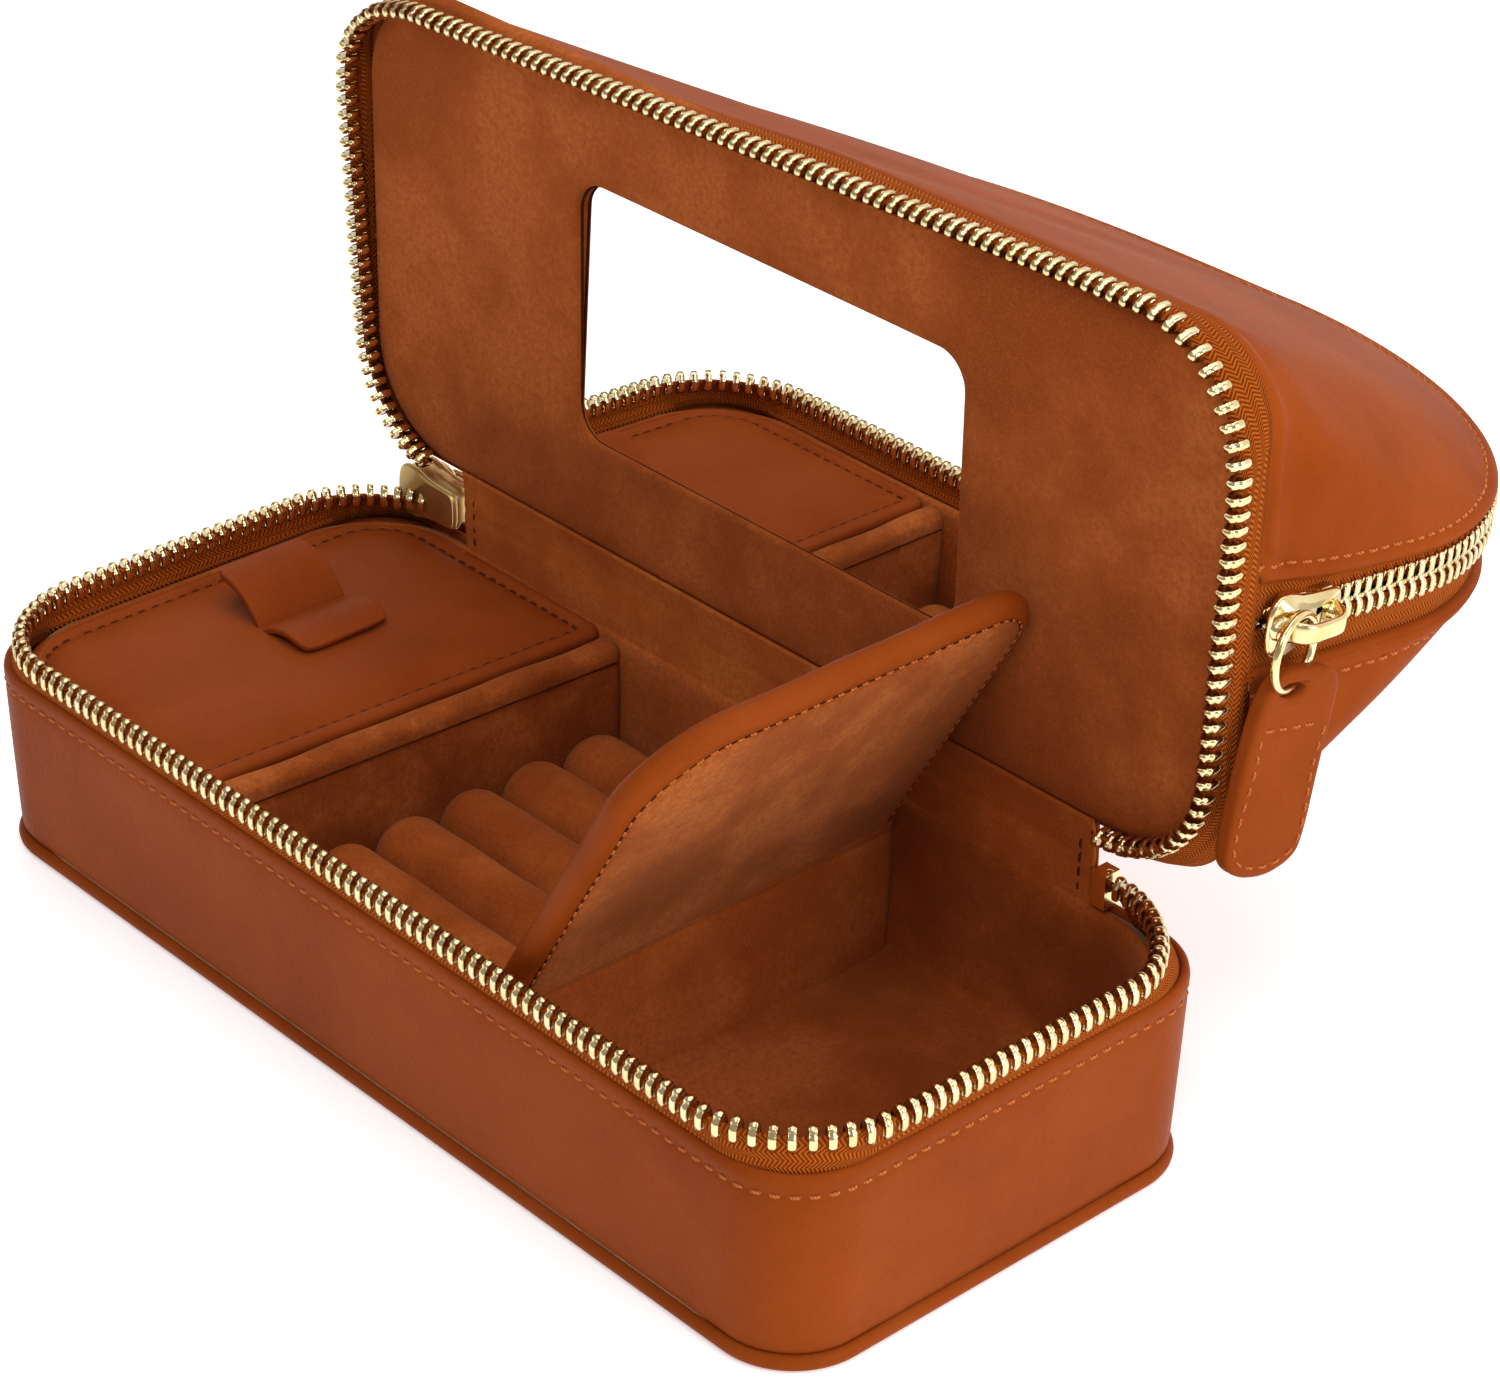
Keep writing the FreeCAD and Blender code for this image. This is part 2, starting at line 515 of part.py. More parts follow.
def bag_panel(sign):
    v = sign * N["slot_half"]
    h0 = v * TAN
    y0 = LEAN.multVec(V(0, v, h0)).y
    rim_out, rim_in = rim_points(0.0, sign, y0), rim_points(N["bag_skin"], sign, y0)
    top_out, top_in = arch_points(0.0, v, h0), arch_points(N["bag_turned"], v, h0)
    ro, ri, to, ti = runs(rim_out), runs(rim_in), runs(top_out), runs(top_in)
    faces = []
    for k in (0, 4):
        a, b = (rim_out[0], rim_out[1]) if k == 0 else (rim_out[7], rim_out[6])
        c = top_out[1] if k == 0 else top_out[6]
        faces.append(Part.Face(Part.Wire([ro[k], line(b, c) if k == 0 else line(b, c), to[k]])))
    for k in (1, 2, 3):
        faces.append(Part.makeRuledSurface(ro[k], to[k]))
    for k in range(5):
        faces.append(Part.makeRuledSurface(ri[k], ti[k]))
    faces.append(Part.Face(Part.Wire(ro + [line(rim_out[7], rim_in[7])] + ri[::-1] + [line(rim_in[0], rim_out[0])])))
    faces.append(Part.Face(Part.Wire(to + [line(rim_out[7], rim_in[7]), line(rim_in[7], top_in[7])] + ti[::-1] +
                                     [line(top_in[0], rim_in[0]), line(rim_in[0], rim_out[0])])))
    shell = Part.Compound(faces)
    shell.sewShape()
    solid = Part.Solid(shell.Shells[0]) if shell.Shells else Part.Solid(Part.Shell(shell.Faces))
    if solid.Volume < 0:
        solid.reverse()
    return solid


feature("bag_front_panel", bag_panel(-1), OPEN)
feature("bag_back_panel", bag_panel(1), OPEN)


def arch(x_out, top_out, thick, y0, y1):
    """A band that runs up one end of the bag, over its top and down the other end."""
    def side(off):
        x, t = x_out - off, top_out - off
        r = x - N["bag_flat"]
        s = t - r
        cx = N["bag_flat"]
        c = math.sqrt(0.5)
        return [V(x, 0, 0), V(x, 0, s), V(cx + r * c, 0, s + r * c), V(cx, 0, t),
                V(-cx, 0, t), V(-cx - r * c, 0, s + r * c), V(-x, 0, s), V(-x, 0, 0)]
    a, b = side(0.0), side(thick)
    edges = [line(a[0], a[1]), curve(a[1], a[2], a[3]), line(a[3], a[4]), curve(a[4], a[5], a[6]), line(a[6], a[7]),
             line(a[7], b[7]), line(b[7], b[6]), curve(b[6], b[5], b[4]), line(b[4], b[3]), curve(b[3], b[2], b[1]),
             line(b[1], b[0]), line(b[0], a[0])]
    face = Part.Face(Part.Wire(edges))
    face.translate(V(0, y0, 0))
    return face.extrude(V(0, y1 - y0, 0))


tape_top = N["bag_top"] - (N["bag_end"] - N["bag_tape_end"])
chain_top = N["bag_top"] + (N["chain_out"] - N["bag_end"])
for label, sign in (("front", -1), ("back", 1)):
    lo, hi = sorted((sign * N["chain_half"], sign * N["slot_half"]))
    band = arch(N["bag_tape_end"], tape_top, N["bag_tape_thk"], lo, hi)
    feature("bag_tape_" + label, band, BAG)
    lo, hi = sorted((sign * N["chain_gap"], sign * N["chain_half"]))
    band = arch(N["chain_out"], chain_top, N["chain_out"] - N["chain_in"], lo, hi)
    feature("bag_teeth_" + label, band, BAG)

# ---------------------------------------------------------------- sliders, rings and pulls
# Drawn along local Z (the way the slider runs), with local X out of the tape
# and local Y across it, the side on which the pull hangs being +Y.


def slider(label, place):
    h0, h1 = N["sl_low"], N["sl_low"] + N["sl_len"]
    out0 = N["chain_out"] + N["sl_gap"]
    in1 = N["chain_in"] - N["sl_gap"]

    def plate(x0, x1, nose, tail):
        pts = [V(0, -nose / 2 + 1.6, h0), V(0, -nose / 2, h0 + 1.8), V(0, -nose / 2 + 0.3, h0 + 6.5), V(0, -tail / 2, h1 - 5.0),
               V(0, -tail / 2, h1 - 0.8), V(0, -tail / 2 + 0.8, h1), V(0, tail / 2 - 0.8, h1), V(0, tail / 2, h1 - 0.8),
               V(0, tail / 2, h1 - 5.0), V(0, nose / 2 - 0.3, h0 + 6.5), V(0, nose / 2, h0 + 1.8), V(0, nose / 2 - 1.6, h0)]
        face = Part.Face(Part.makePolygon(pts + pts[:1]))
        face.translate(V(x0, 0, 0))
        return face.extrude(V(x1 - x0, 0, 0))
    body = plate(out0, out0 + N["sl_plate"], N["sl_nose"], N["sl_tail"])
    body = body.fuse(plate(in1 - N["sl_plate"], in1, N["sl_nose"], N["sl_tail"]))
    body = body.fuse(Part.makeBox(out0 - in1, N["fin"], 4.2, V(in1, -N["fin"] / 2, h0 + 0.6)))
    tape_out = N["bag_tape_end"]
    tape_in = N["bag_tape_end"] - N["bag_tape_thk"]
    for sign in (-1, 1):
        y0 = N["chain_half"] + 0.4
        y = y0 if sign > 0 else -y0 - 0.7
        body = body.fuse(Part.makeBox(out0 - tape_out - 0.4, 0.7, N["sl_len"] - 4.0, V(tape_out + 0.4, y, h0 + 3.0)))
        body = body.fuse(Part.makeBox(tape_in - 0.4 - in1, 0.7, N["sl_len"] - 4.0, V(in1, y, h0 + 3.0)))
    body = body.removeSplitter()
    return feature(label, body, place)


def bail(label, place):
    base = N["chain_out"] + N["sl_gap"] + N["sl_plate"]
    h0, h1 = N["sl_low"] + 2.4, N["sl_low"] + N["sl_len"] - 1.4
    t, rise = N["bail_bar"] + 0.2, N["bail_rise"]
    pts = [V(base, 0, h0), V(base + rise - 1.0, 0, h0), V(base + rise, 0, h0 + 1.0), V(base + rise, 0, h1 - 1.0),
           V(base + rise - 1.0, 0, h1), V(base, 0, h1), V(base, 0, h1 - t), V(base + rise - N["bail_bar"], 0, h1 - t),
           V(base + rise - N["bail_bar"], 0, h0 + t), V(base, 0, h0 + t)]
    face = Part.Face(Part.makePolygon(pts + pts[:1]))
    face.translate(V(0, -N["bail_wid"] / 2, 0))
    return feature(label, face.extrude(V(0, N["bail_wid"], 0)), place)


RING_X = N["chain_out"] + N["sl_gap"] + N["sl_plate"] + 1.45


def pull_ring(label, place):
    t = doc.addObject("Part::Torus", label)
    t.Radius1, t.Radius2 = N["ring_rad"], N["ring_wire"]
    bind(t, "Radius1", D["ring_rad"])
    bind(t, "Radius2", D["ring_wire"])
    t.Placement = place.multiply(PLC(V(RING_X, N["ring_drop"], N["ring_at"]), ROT(V(0, 1, 0), 90)))
    return keep(t, label)


def pull_tab(label, place, tilt):
    """A folded leather tab whose loop hangs on the ring."""
    ax = N["ring_drop"] + N["ring_rad"] - 0.35
    zc = N["ring_at"]
    x0, x1 = RING_X - N["pull_thk"] / 2, RING_X + N["pull_thk"] / 2
    loop = Part.makeCylinder(N["pull_loop"], N["pull_neck"], V(RING_X, ax, zc - N["pull_neck"] / 2), V(0, 0, 1))
    loop = loop.fuse(Part.makeBox(N["pull_thk"], N["pull_start"] + 1.0 - ax, N["pull_neck"],
                                  V(x0, ax, zc - N["pull_neck"] / 2)))
    w, c = N["pull_wid"] / 2, N["pull_round"]
    y0, y1 = N["pull_start"], N["pull_end"]
    pts = [V(x0, y0, zc - w + 2), V(x0, y0 + 2, zc - w), V(x0, y1 - c, zc - w), V(x0, y1, zc - w + c * 1.2),
           V(x0, y1, zc + w - c * 1.2), V(x0, y1 - c, zc + w), V(x0, y0 + 2, zc + w), V(x0, y0, zc + w - 2)]
    face = Part.Face(Part.makePolygon(pts + pts[:1]))
    plate = face.extrude(V(N["pull_thk"], 0, 0))
    turn = PLC(V(0, 0, 0), ROT(V(1, 0, 0), -tilt), V(0, ax, zc))
    plate.Placement = turn.multiply(plate.Placement)
    loop = loop.fuse(plate)
    loop = loop.cut(Part.makeCylinder(N["pull_bore"], N["pull_neck"] + 2, V(RING_X, ax, zc - N["pull_neck"] / 2 - 1),
                                      V(0, 0, 1)))
    return feature(label, loop.removeSplitter(), place)


slider("bag_slider", BAG)
bail("bag_bail", BAG)
pull_ring("bag_ring", BAG)
pull_tab("bag_pull", BAG, N["pull_tilt"])

# The main zip's slider stands at the end of the chain by the left end of the
# strip.  Its local Z runs along +X, its local X points out of the back.
mid_x = (N["chain_out"] + N["chain_in"]) / 2
axes = FreeCAD.Matrix(0, 0, 1, 0, 1, 0, 0, 0, 0, 1, 0, 0, 0, 0, 0, 1)
MAIN = PLC(V(-N["main_x"], N["main_y"] - mid_x, N["main_z"]), ROT(axes))
FLIP = MAIN.multiply(PLC(V(0, 0, 2 * N["ring_at"]), ROT(V(1, 0, 0), 180)))
slider("main_slider", MAIN)
bail("main_bail", MAIN)
pull_ring("main_ring", FLIP)
pull_tab("main_pull", FLIP, 0.0)

doc.recompute()

# ---------------------------------------------------------------- checks and files
problems = []
for o in doc.Objects:
    if any(s in ("Invalid", "Error") for s in o.State):
        problems.append("%s is %s" % (o.Name, o.State))
for o in MADE:
    s = o.Shape
    if s.isNull() or not s.isValid() or s.Volume <= 0 or not s.Solids:
        problems.append("%s has no valid solid" % o.Label)
if problems:
    raise RuntimeError("; ".join(problems))

os.makedirs("parts", exist_ok=True)
for o in MADE:
    b = o.Shape.BoundBox
    print("%-18s %9.1f mm3 %d solid(s)  x %.1f %.1f  y %.1f %.1f  z %.1f %.1f" % (
        o.Label, o.Shape.Volume, len(o.Shape.Solids), b.XMin, b.XMax, b.YMin, b.YMax, b.ZMin, b.ZMax))
    o.Shape.exportStep("parts/%s.step" % o.Label)
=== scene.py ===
import bpy
import math
import numpy as np
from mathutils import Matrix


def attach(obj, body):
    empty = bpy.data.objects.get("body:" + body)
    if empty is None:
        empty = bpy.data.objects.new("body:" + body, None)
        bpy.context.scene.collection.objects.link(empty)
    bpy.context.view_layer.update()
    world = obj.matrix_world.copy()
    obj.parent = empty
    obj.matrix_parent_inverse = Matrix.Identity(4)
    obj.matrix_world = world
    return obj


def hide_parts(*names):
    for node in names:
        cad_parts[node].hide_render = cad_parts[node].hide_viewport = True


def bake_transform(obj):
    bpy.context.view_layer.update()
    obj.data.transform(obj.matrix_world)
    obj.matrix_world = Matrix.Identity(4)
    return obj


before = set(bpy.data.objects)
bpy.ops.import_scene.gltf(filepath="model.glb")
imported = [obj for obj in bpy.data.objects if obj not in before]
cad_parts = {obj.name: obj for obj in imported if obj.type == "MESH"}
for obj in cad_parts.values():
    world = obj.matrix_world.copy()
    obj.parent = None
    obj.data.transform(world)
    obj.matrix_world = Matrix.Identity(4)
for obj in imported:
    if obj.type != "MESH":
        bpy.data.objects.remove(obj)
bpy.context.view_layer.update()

# The jewellery case's looks.  Lengths below are in millimetres in the CAD's
# frame (X along the tray, Y to the hinge, Z up) and are scaled on the way in.
MM = 0.001
YH, ZH = 45.0, 50.8
LEAN = math.radians(5.5)
PITCH = 2.56
rng = np.random.default_rng(11)


# ------------------------------------------------------------------ materials
def srgb(r, g, b):
    f = lambda c: c / 12.92 if c <= 0.04045 else ((c + 0.055) / 1.055) ** 2.4
    return (f(r / 255), f(g / 255), f(b / 255), 1.0)


class Mat:
    def __init__(self, name):
        self.m = bpy.data.materials.new(name)
        self.m.use_nodes = True
        self.t = self.m.node_tree
        self.b = self.t.nodes["Principled BSDF"]

    def node(self, kind, **inputs):
        n = self.t.nodes.new(kind)
        for k, v in inputs.items():
            n.inputs[k].default_value = v
        return n

    def link(self, a, b):
        self.t.links.new(a, b)

    def coords(self, uv=False):
        n = self.t.nodes.new("ShaderNodeTexCoord")
        return n.outputs["UV" if uv else "Object"]

    def noise(self, scale, detail=4.0, rough=0.55, at=None, dist=0.0):
        n = self.node("ShaderNodeTexNoise", Scale=scale, Detail=detail, Roughness=rough, Distortion=dist)
        self.link(at if at is not None else self.coords(), n.inputs["Vector"])
        return n.outputs["Fac"]

    def cells(self, scale, at=None, feature="F1"):
        n = self.node("ShaderNodeTexVoronoi", Scale=scale)
        n.feature = feature
        self.link(at if at is not None else self.coords(), n.inputs["Vector"])
        return n.outputs["Distance"]

    def ramp(self, fac, stops):
        n = self.t.nodes.new("ShaderNodeValToRGB")
        e = n.color_ramp.elements
        e[0].position, e[0].color = stops[0]
        e[1].position, e[1].color = stops[-1]
        for p, c in stops[1:-1]:
            x = e.new(p)
            x.color = c
        self.link(fac, n.inputs["Fac"])
        return n.outputs["Color"]

    def math(self, op, a, b=None, c=None):
        n = self.t.nodes.new("ShaderNodeMath")
        n.operation = op
        for i, v in enumerate((a, b, c)):
            if v is None:
                continue
            if isinstance(v, (int, float)):
                n.inputs[i].default_value = v
            else:
                self.link(v, n.inputs[i])
        return n.outputs[0]

    def mix(self, fac, a, b, blend="MIX"):
        n = self.t.nodes.new("ShaderNodeMix")
        n.data_type = "RGBA"
        n.blend_type = blend
        for sock, v in ((n.inputs[0], fac), (n.inputs[6], a), (n.inputs[7], b)):
            if isinstance(v, (int, float, tuple)):
                sock.default_value = v
            else:
                self.link(v, sock)
        return n.outputs[2]

    def span(self, fac, lo, hi):
        n = self.node("ShaderNodeMapRange")
        n.inputs["To Min"].default_value = lo
        n.inputs["To Max"].default_value = hi
        self.link(fac, n.inputs["Value"])
        return n.outputs["Result"]

    def bump(self, height, strength, dist):
        n = self.node("ShaderNodeBump", Strength=strength, Distance=dist)
        if self.b.inputs["Normal"].is_linked:
            self.link(self.b.inputs["Normal"].links[0].from_socket, n.inputs["Normal"])
        self.link(height, n.inputs["Height"])
        self.link(n.outputs["Normal"], self.b.inputs["Normal"])


def leather(name, base, dark, light, rough=(0.36, 0.50), grain=1.0, shine=0.035):
    m = Mat(name)
    broad = m.noise(26.0, 6.0, 0.6)
    col = m.ramp(broad, [(0.30, dark), (0.5, base), (0.72, light)])
    # darker pores between the grain's pebbles, and a little rub where it is high
    pores = m.cells(1150.0)
    col = m.mix(m.math("MULTIPLY", m.math("POWER", pores, 3.0), 0.30), col, dark)
    flecks = m.noise(900.0, 5.0, 0.7)
    col = m.mix(m.span(flecks, 0.0, 0.26), col, light)
    m.link(col, m.b.inputs["Base Color"])
    m.link(m.span(m.noise(520.0, 4.0), rough[0], rough[1]), m.b.inputs["Roughness"])
    m.b.inputs["Specular IOR Level"].default_value = shine
    m.b.inputs["Specular Tint"].default_value = (1.0, 0.74, 0.5, 1)
    m.b.inputs["Sheen Weight"].default_value = 0.0
    m.b.inputs["Sheen Roughness"].default_value = 0.4
    m.b.inputs["Sheen Tint"].default_value = (0.95, 0.72, 0.6, 1)
    m.bump(pores, 0.34 * grain, 0.00016)
    m.bump(m.noise(2300.0, 4.0), 0.16 * grain, 0.00012)
    m.bump(m.noise(75.0, 3.0), 0.10, 0.0007)
    return m.m


def suede(name, base, dark, light, patch=34.0):
    m = Mat(name)
    # brushed patches with fairly sharp borders, over a fine speckled nap
    brushed = m.noise(patch, 7.0, 0.62)
    col = m.ramp(brushed, [(0.40, dark), (0.50, base), (0.60, light)])
    nap = m.noise(900.0, 8.0, 0.8)
    col = m.mix(m.ramp(nap, [(0.40, (0, 0, 0, 1)), (0.62, (0.75, 0.75, 0.75, 1))]), col, dark)
    fibre = m.noise(2600.0, 4.0, 0.85)
    col = m.mix(m.ramp(fibre, [(0.50, (0, 0, 0, 1)), (0.72, (0.8, 0.8, 0.8, 1))]), col, light)
    m.link(col, m.b.inputs["Base Color"])
    m.b.inputs["Roughness"].default_value = 0.97
    m.b.inputs["Specular IOR Level"].default_value = 0.06
    m.b.inputs["Sheen Weight"].default_value = 0.16
    m.b.inputs["Sheen Roughness"].default_value = 0.5
    m.b.inputs["Sheen Tint"].default_value = (1.0, 0.52, 0.24, 1)
    m.bump(m.noise(1300.0, 6.0, 0.8), 0.65, 0.0004)
    m.bump(m.noise(160.0, 4.0), 0.14, 0.0006)
    return m.m


def woven(name):
    """Herringbone zip tape; U runs along the tape and V across it, in millimetres."""
    m = Mat(name)
    sep = m.t.nodes.new("ShaderNodeSeparateXYZ")
    m.link(m.coords(uv=True), sep.inputs[0])
    zig = m.math("PINGPONG", sep.outputs["Y"], 1.15)
    run = m.math("ADD", sep.outputs["X"], m.math("MULTIPLY", zig, 1.0))
    ribs = m.math("SINE", m.math("MULTIPLY", run, 2 * math.pi / 0.78))
    lane = m.math("SINE", m.math("MULTIPLY", sep.outputs["Y"], 2 * math.pi / 1.15))
    fac = m.span(ribs, 0.0, 1.0)
    fac.node.inputs["From Min"].default_value = -1.0
    # painted shade: the ribs' valleys, low on the same wave as the bump, are coloured darker than the tape's own
    # orange on the crests
    col = m.ramp(fac, [(0.0, srgb(104, 42, 8)), (0.45, srgb(172, 78, 18)), (1.0, srgb(198, 100, 30))])
    fuzz = m.noise(1500.0, 3.0)
    col = m.mix(m.span(fuzz, 0.0, 0.35), col, srgb(138, 60, 14))
    m.link(col, m.b.inputs["Base Color"])
    m.b.inputs["Roughness"].default_value = 0.82
    m.b.inputs["Specular IOR Level"].default_value = 0.02
    m.b.inputs["Sheen Weight"].default_value = 0.04
    m.b.inputs["Sheen Tint"].default_value = (1.0, 0.6, 0.3, 1)
    m.bump(ribs, 0.75, 0.00022)
    m.bump(lane, 0.2, 0.00012)
    m.bump(m.noise(2600.0, 3.0), 0.2, 0.0001)
    return m.m


def metal(name, base, rough, worn):
    m = Mat(name)
    m.b.inputs["Metallic"].default_value = 1.0
    n = m.noise(160.0, 4.0)
    m.link(m.ramp(n, [(0.3, worn), (0.62, base)]), m.b.inputs["Base Color"])
    m.link(m.span(m.noise(700.0, 4.0), rough[0], rough[1]), m.b.inputs["Roughness"])
    m.bump(m.noise(900.0, 2.0), 0.05, 0.00008)
    return m.m


def thread(name, base, dark):
    m = Mat(name)
    w = m.node("ShaderNodeTexWave", Scale=900.0, Distortion=1.5)
    w.bands_direction = "DIAGONAL"
    m.link(m.coords(), w.inputs["Vector"])
    # painted shade: the twist's grooves, low on the same wave as the bump, are coloured darker than the thread's own
    # colour
    m.link(m.ramp(w.outputs["Fac"], [(0.1, dark), (0.7, base)]), m.b.inputs["Base Color"])
    m.b.inputs["Roughness"].default_value = 0.7
    m.b.inputs["Specular IOR Level"].default_value = 0.08
    m.bump(w.outputs["Fac"], 0.5, 0.0001)
    return m.m


LEATHER = leather("leather_tan", srgb(135, 59, 16), srgb(122, 50, 11), srgb(146, 67, 22))
LEATHER_BAG = leather("leather_bag", srgb(141, 63, 19), srgb(128, 54, 13), srgb(152, 71, 25), rough=(0.44, 0.58), shine=0.012)
LEATHER_PAD = leather("leather_pad", srgb(136, 60, 22), srgb(122, 51, 16), srgb(147, 69, 28), rough=(0.38, 0.5))
LEATHER_EDGE = leather("leather_edge", srgb(106, 42, 15), srgb(88, 34, 11), srgb(120, 52, 20), rough=(0.5, 0.62))
SUEDE = suede("suede_brown", srgb(164, 80, 31), srgb(140, 62, 19), srgb(184, 97, 44))
SUEDE_LIGHT = suede("suede_light", srgb(153, 74, 28), srgb(128, 56, 16), srgb(181, 98, 45), patch=48.0)
SUEDE_STRIP = suede("suede_strip", srgb(192, 97, 36), srgb(168, 78, 23), srgb(208, 114, 50))
TAPE = woven("zip_tape")
BRASS = metal("brass_pale", (0.90, 0.73, 0.40, 1), (0.13, 0.24), (0.78, 0.57, 0.25, 1))
BRASS_SATIN = metal("brass_satin", (0.88, 0.66, 0.28, 1), (0.44, 0.56), (0.76, 0.54, 0.21, 1))
THREAD = thread("thread_tan", srgb(200, 112, 58), srgb(150, 74, 32))
THREAD_DARK = thread("thread_brown", srgb(96, 40, 14), srgb(62, 25, 8))
m = Mat("mirror_glass")
m.b.inputs["Metallic"].default_value = 1.0
m.b.inputs["Base Color"].default_value = (0.93, 0.94, 0.95, 1)
m.link(m.span(m.noise(30.0, 2.0), 0.0, 0.012), m.b.inputs["Roughness"])
MIRROR = m.m
# painted shade: a dark brown for thin tubes laid where shade falls, in the divider's seam crease, the pad's slit, the
# flap's groove and round the mirror's edge
m = Mat("seam_shadow")
m.link(m.ramp(m.noise(300.0), [(0.3, srgb(52, 23, 9)), (0.7, srgb(80, 36, 15))]), m.b.inputs["Base Color"])
m.b.inputs["Roughness"].default_value = 0.9
m.b.inputs["Specular IOR Level"].default_value = 0.0
SEAM_SHADOW = m.m
m = Mat("fibre_board")
m.link(m.ramp(m.noise(500.0, 6.0), [(0.3, srgb(120, 92, 66)), (0.7, srgb(150, 118, 88))]), m.b.inputs["Base Color"])
m.b.inputs["Roughness"].default_value = 0.9
m.bump(m.noise(900.0, 4.0), 0.3, 0.0002)
BOARD = m.m


# ------------------------------------------------------------------ mesh helpers
def add(name, verts, faces, mat, body, uv=None, smooth=True, gone=(), slot=None, solid=None, bevel=None, sub=0):
    me = bpy.data.meshes.new(name)
    me.from_pydata([tuple(v) for v in np.asarray(verts, float) * MM], [], [tuple(f) for f in faces])
    me.validate()
    if uv is not None:
        layer = me.uv_layers.new(name="UVMap")
        uv = np.asarray(uv, float)
        idx = np.zeros(len(me.loops), int)
        me.loops.foreach_get("vertex_index", idx)
        layer.data.foreach_set("uv", uv[idx].ravel())
    me.polygons.foreach_set("use_smooth", [smooth] * len(me.polygons))
    me.update()
    o = bpy.data.objects.new(name, me)
    bpy.context.scene.collection.objects.link(o)
    me.materials.append(mat)
    if solid:
        s = o.modifiers.new("thick", "SOLIDIFY")
        s.thickness, s.offset = solid * MM, -1.0
    if bevel:
        b = o.modifiers.new("bevel", "BEVEL")
        b.width, b.segments, b.limit_method, b.angle_limit = bevel * MM, 3, "ANGLE", math.radians(40)
    if sub:
        s = o.modifiers.new("sub", "SUBSURF")
        s.levels = s.render_levels = sub
    if body:
        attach(o, body)
    if gone:
        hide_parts(*gone)
    return o


def grid_faces(nu, nv, wrap_u=False, wrap_v=False, flip=False):
    f = []
    for i in range(nu if wrap_u else nu - 1):
        for j in range(nv if wrap_v else nv - 1):
            a, b = i * nv + j, ((i + 1) % nu) * nv + j
            c, d = ((i + 1) % nu) * nv + (j + 1) % nv, i * nv + (j + 1) % nv
            f.append((a, d, c, b) if flip else (a, b, c, d))
    return f


def join(parts):
    """Several (verts, faces) put together."""
    vs, fs, n = [], [], 0
    for v, f in parts:
        vs.append(np.asarray(v, float))
        fs += [tuple(i + n for i in q) for q in f]
        n += len(v)
    return np.vstack(vs), fs


def rim(L, W, R, s):
    """Points and outward normals of a rounded rectangle; s runs from the middle of the back towards +X."""
    a, b = L / 2 - R, W / 2 - R
    q = math.pi * R / 2
    total = 4 * (a + b) + 4 * q
    s = np.asarray(s, float) % total
    P, Nn = np.zeros((len(s), 2)), np.zeros((len(s), 2))
    marks = np.cumsum([a, q, 2 * b, q, 2 * a, q, 2 * b, q, a])
    for i, t in enumerate(s):
        k = int(np.searchsorted(marks, t, side="right"))
        u = t - (marks[k - 1] if k else 0.0)
        if k == 0:
            P[i], Nn[i] = (u, b + R), (0, 1)
        elif k == 2:
            P[i], Nn[i] = (a + R, b - u), (1, 0)
        elif k == 4:
            P[i], Nn[i] = (a - u, -b - R), (0, -1)
        elif k == 6:
            P[i], Nn[i] = (-a - R, -b + u), (-1, 0)
        elif k >= 8:
            P[i], Nn[i] = (-a + u, b + R), (0, 1)
        else:
            cx, cy, st = {1: (a, b, 90), 3: (a, -b, 0), 5: (-a, -b, -90), 7: (-a, b, 180)}[k]
            g = math.radians(st) - u / R
            Nn[i] = (math.cos(g), math.sin(g))
            P[i] = (cx + R * Nn[i][0], cy + R * Nn[i][1])
    return P, Nn


def rim_length(L, W, R):
    return 2 * (L - 2 * R) + 2 * (W - 2 * R) + 2 * math.pi * R


TL, TW, TR = 210.0, 93.0, 22.0
TRAY_P = rim_length(TL, TW, TR)
SKIN = (210.0, 92.6, 14.5)      # the leather's outline has tighter corners than the zip's


def marks_of(L, W, R):
    a, b, q = L / 2 - R, W / 2 - R, math.pi * R / 2
    return np.concatenate([[0], np.cumsum([a, q, 2 * b, q, 2 * a, q, 2 * b, q, a])])


def share(s, L, W, R):
    """Lengths along an outline as stretches passed, so that outlines of other radii can be met at like places."""
    return np.interp(np.asarray(s, float) % rim_length(L, W, R), marks_of(L, W, R), np.arange(10.0))


def rim_at(k, L, W, R):
    return rim(L, W, R, np.minimum(np.interp(k, np.arange(10.0), marks_of(L, W, R)), rim_length(L, W, R) - 1e-6))


def sweep_rim(profile, n=420, s0=None, s1=None, inset=0.0, L=TL, W=TW, R=TR, frame_fn=None):
    """A profile of (outward, up) points carried round the tray's outline."""
    L, W, R = L - 2 * inset, W - 2 * inset, R - inset
    total = rim_length(L, W, R)
    closed = s0 is None
    s = np.linspace(0, total, n, endpoint=False) if closed else np.linspace(s0, s1, n)
    P, Nn = rim(L, W, R, s)
    prof = np.asarray(profile, float)
    nv = len(prof)
    V = np.zeros((n, nv, 3))
    V[:, :, :2] = P[:, None, :] + Nn[:, None, :] * prof[None, :, :1]
    V[:, :, 2] = prof[None, :, 1]
    if frame_fn is not None:
        V = frame_fn(V)
    d = np.concatenate([[0], np.cumsum(np.hypot(*np.diff(prof, axis=0).T))])
    uv = np.stack(np.meshgrid(s, d, indexing="ij"), -1)
    return V.reshape(-1, 3), grid_faces(n, nv, wrap_u=closed), uv.reshape(-1, 2)


def opened(V):
    """Closed-lid coordinates to the lid's rest place."""
    V = np.asarray(V, float)
    return np.stack([V[..., 0], YH + (V[..., 2] - ZH), ZH - (V[..., 1] - YH)], -1)


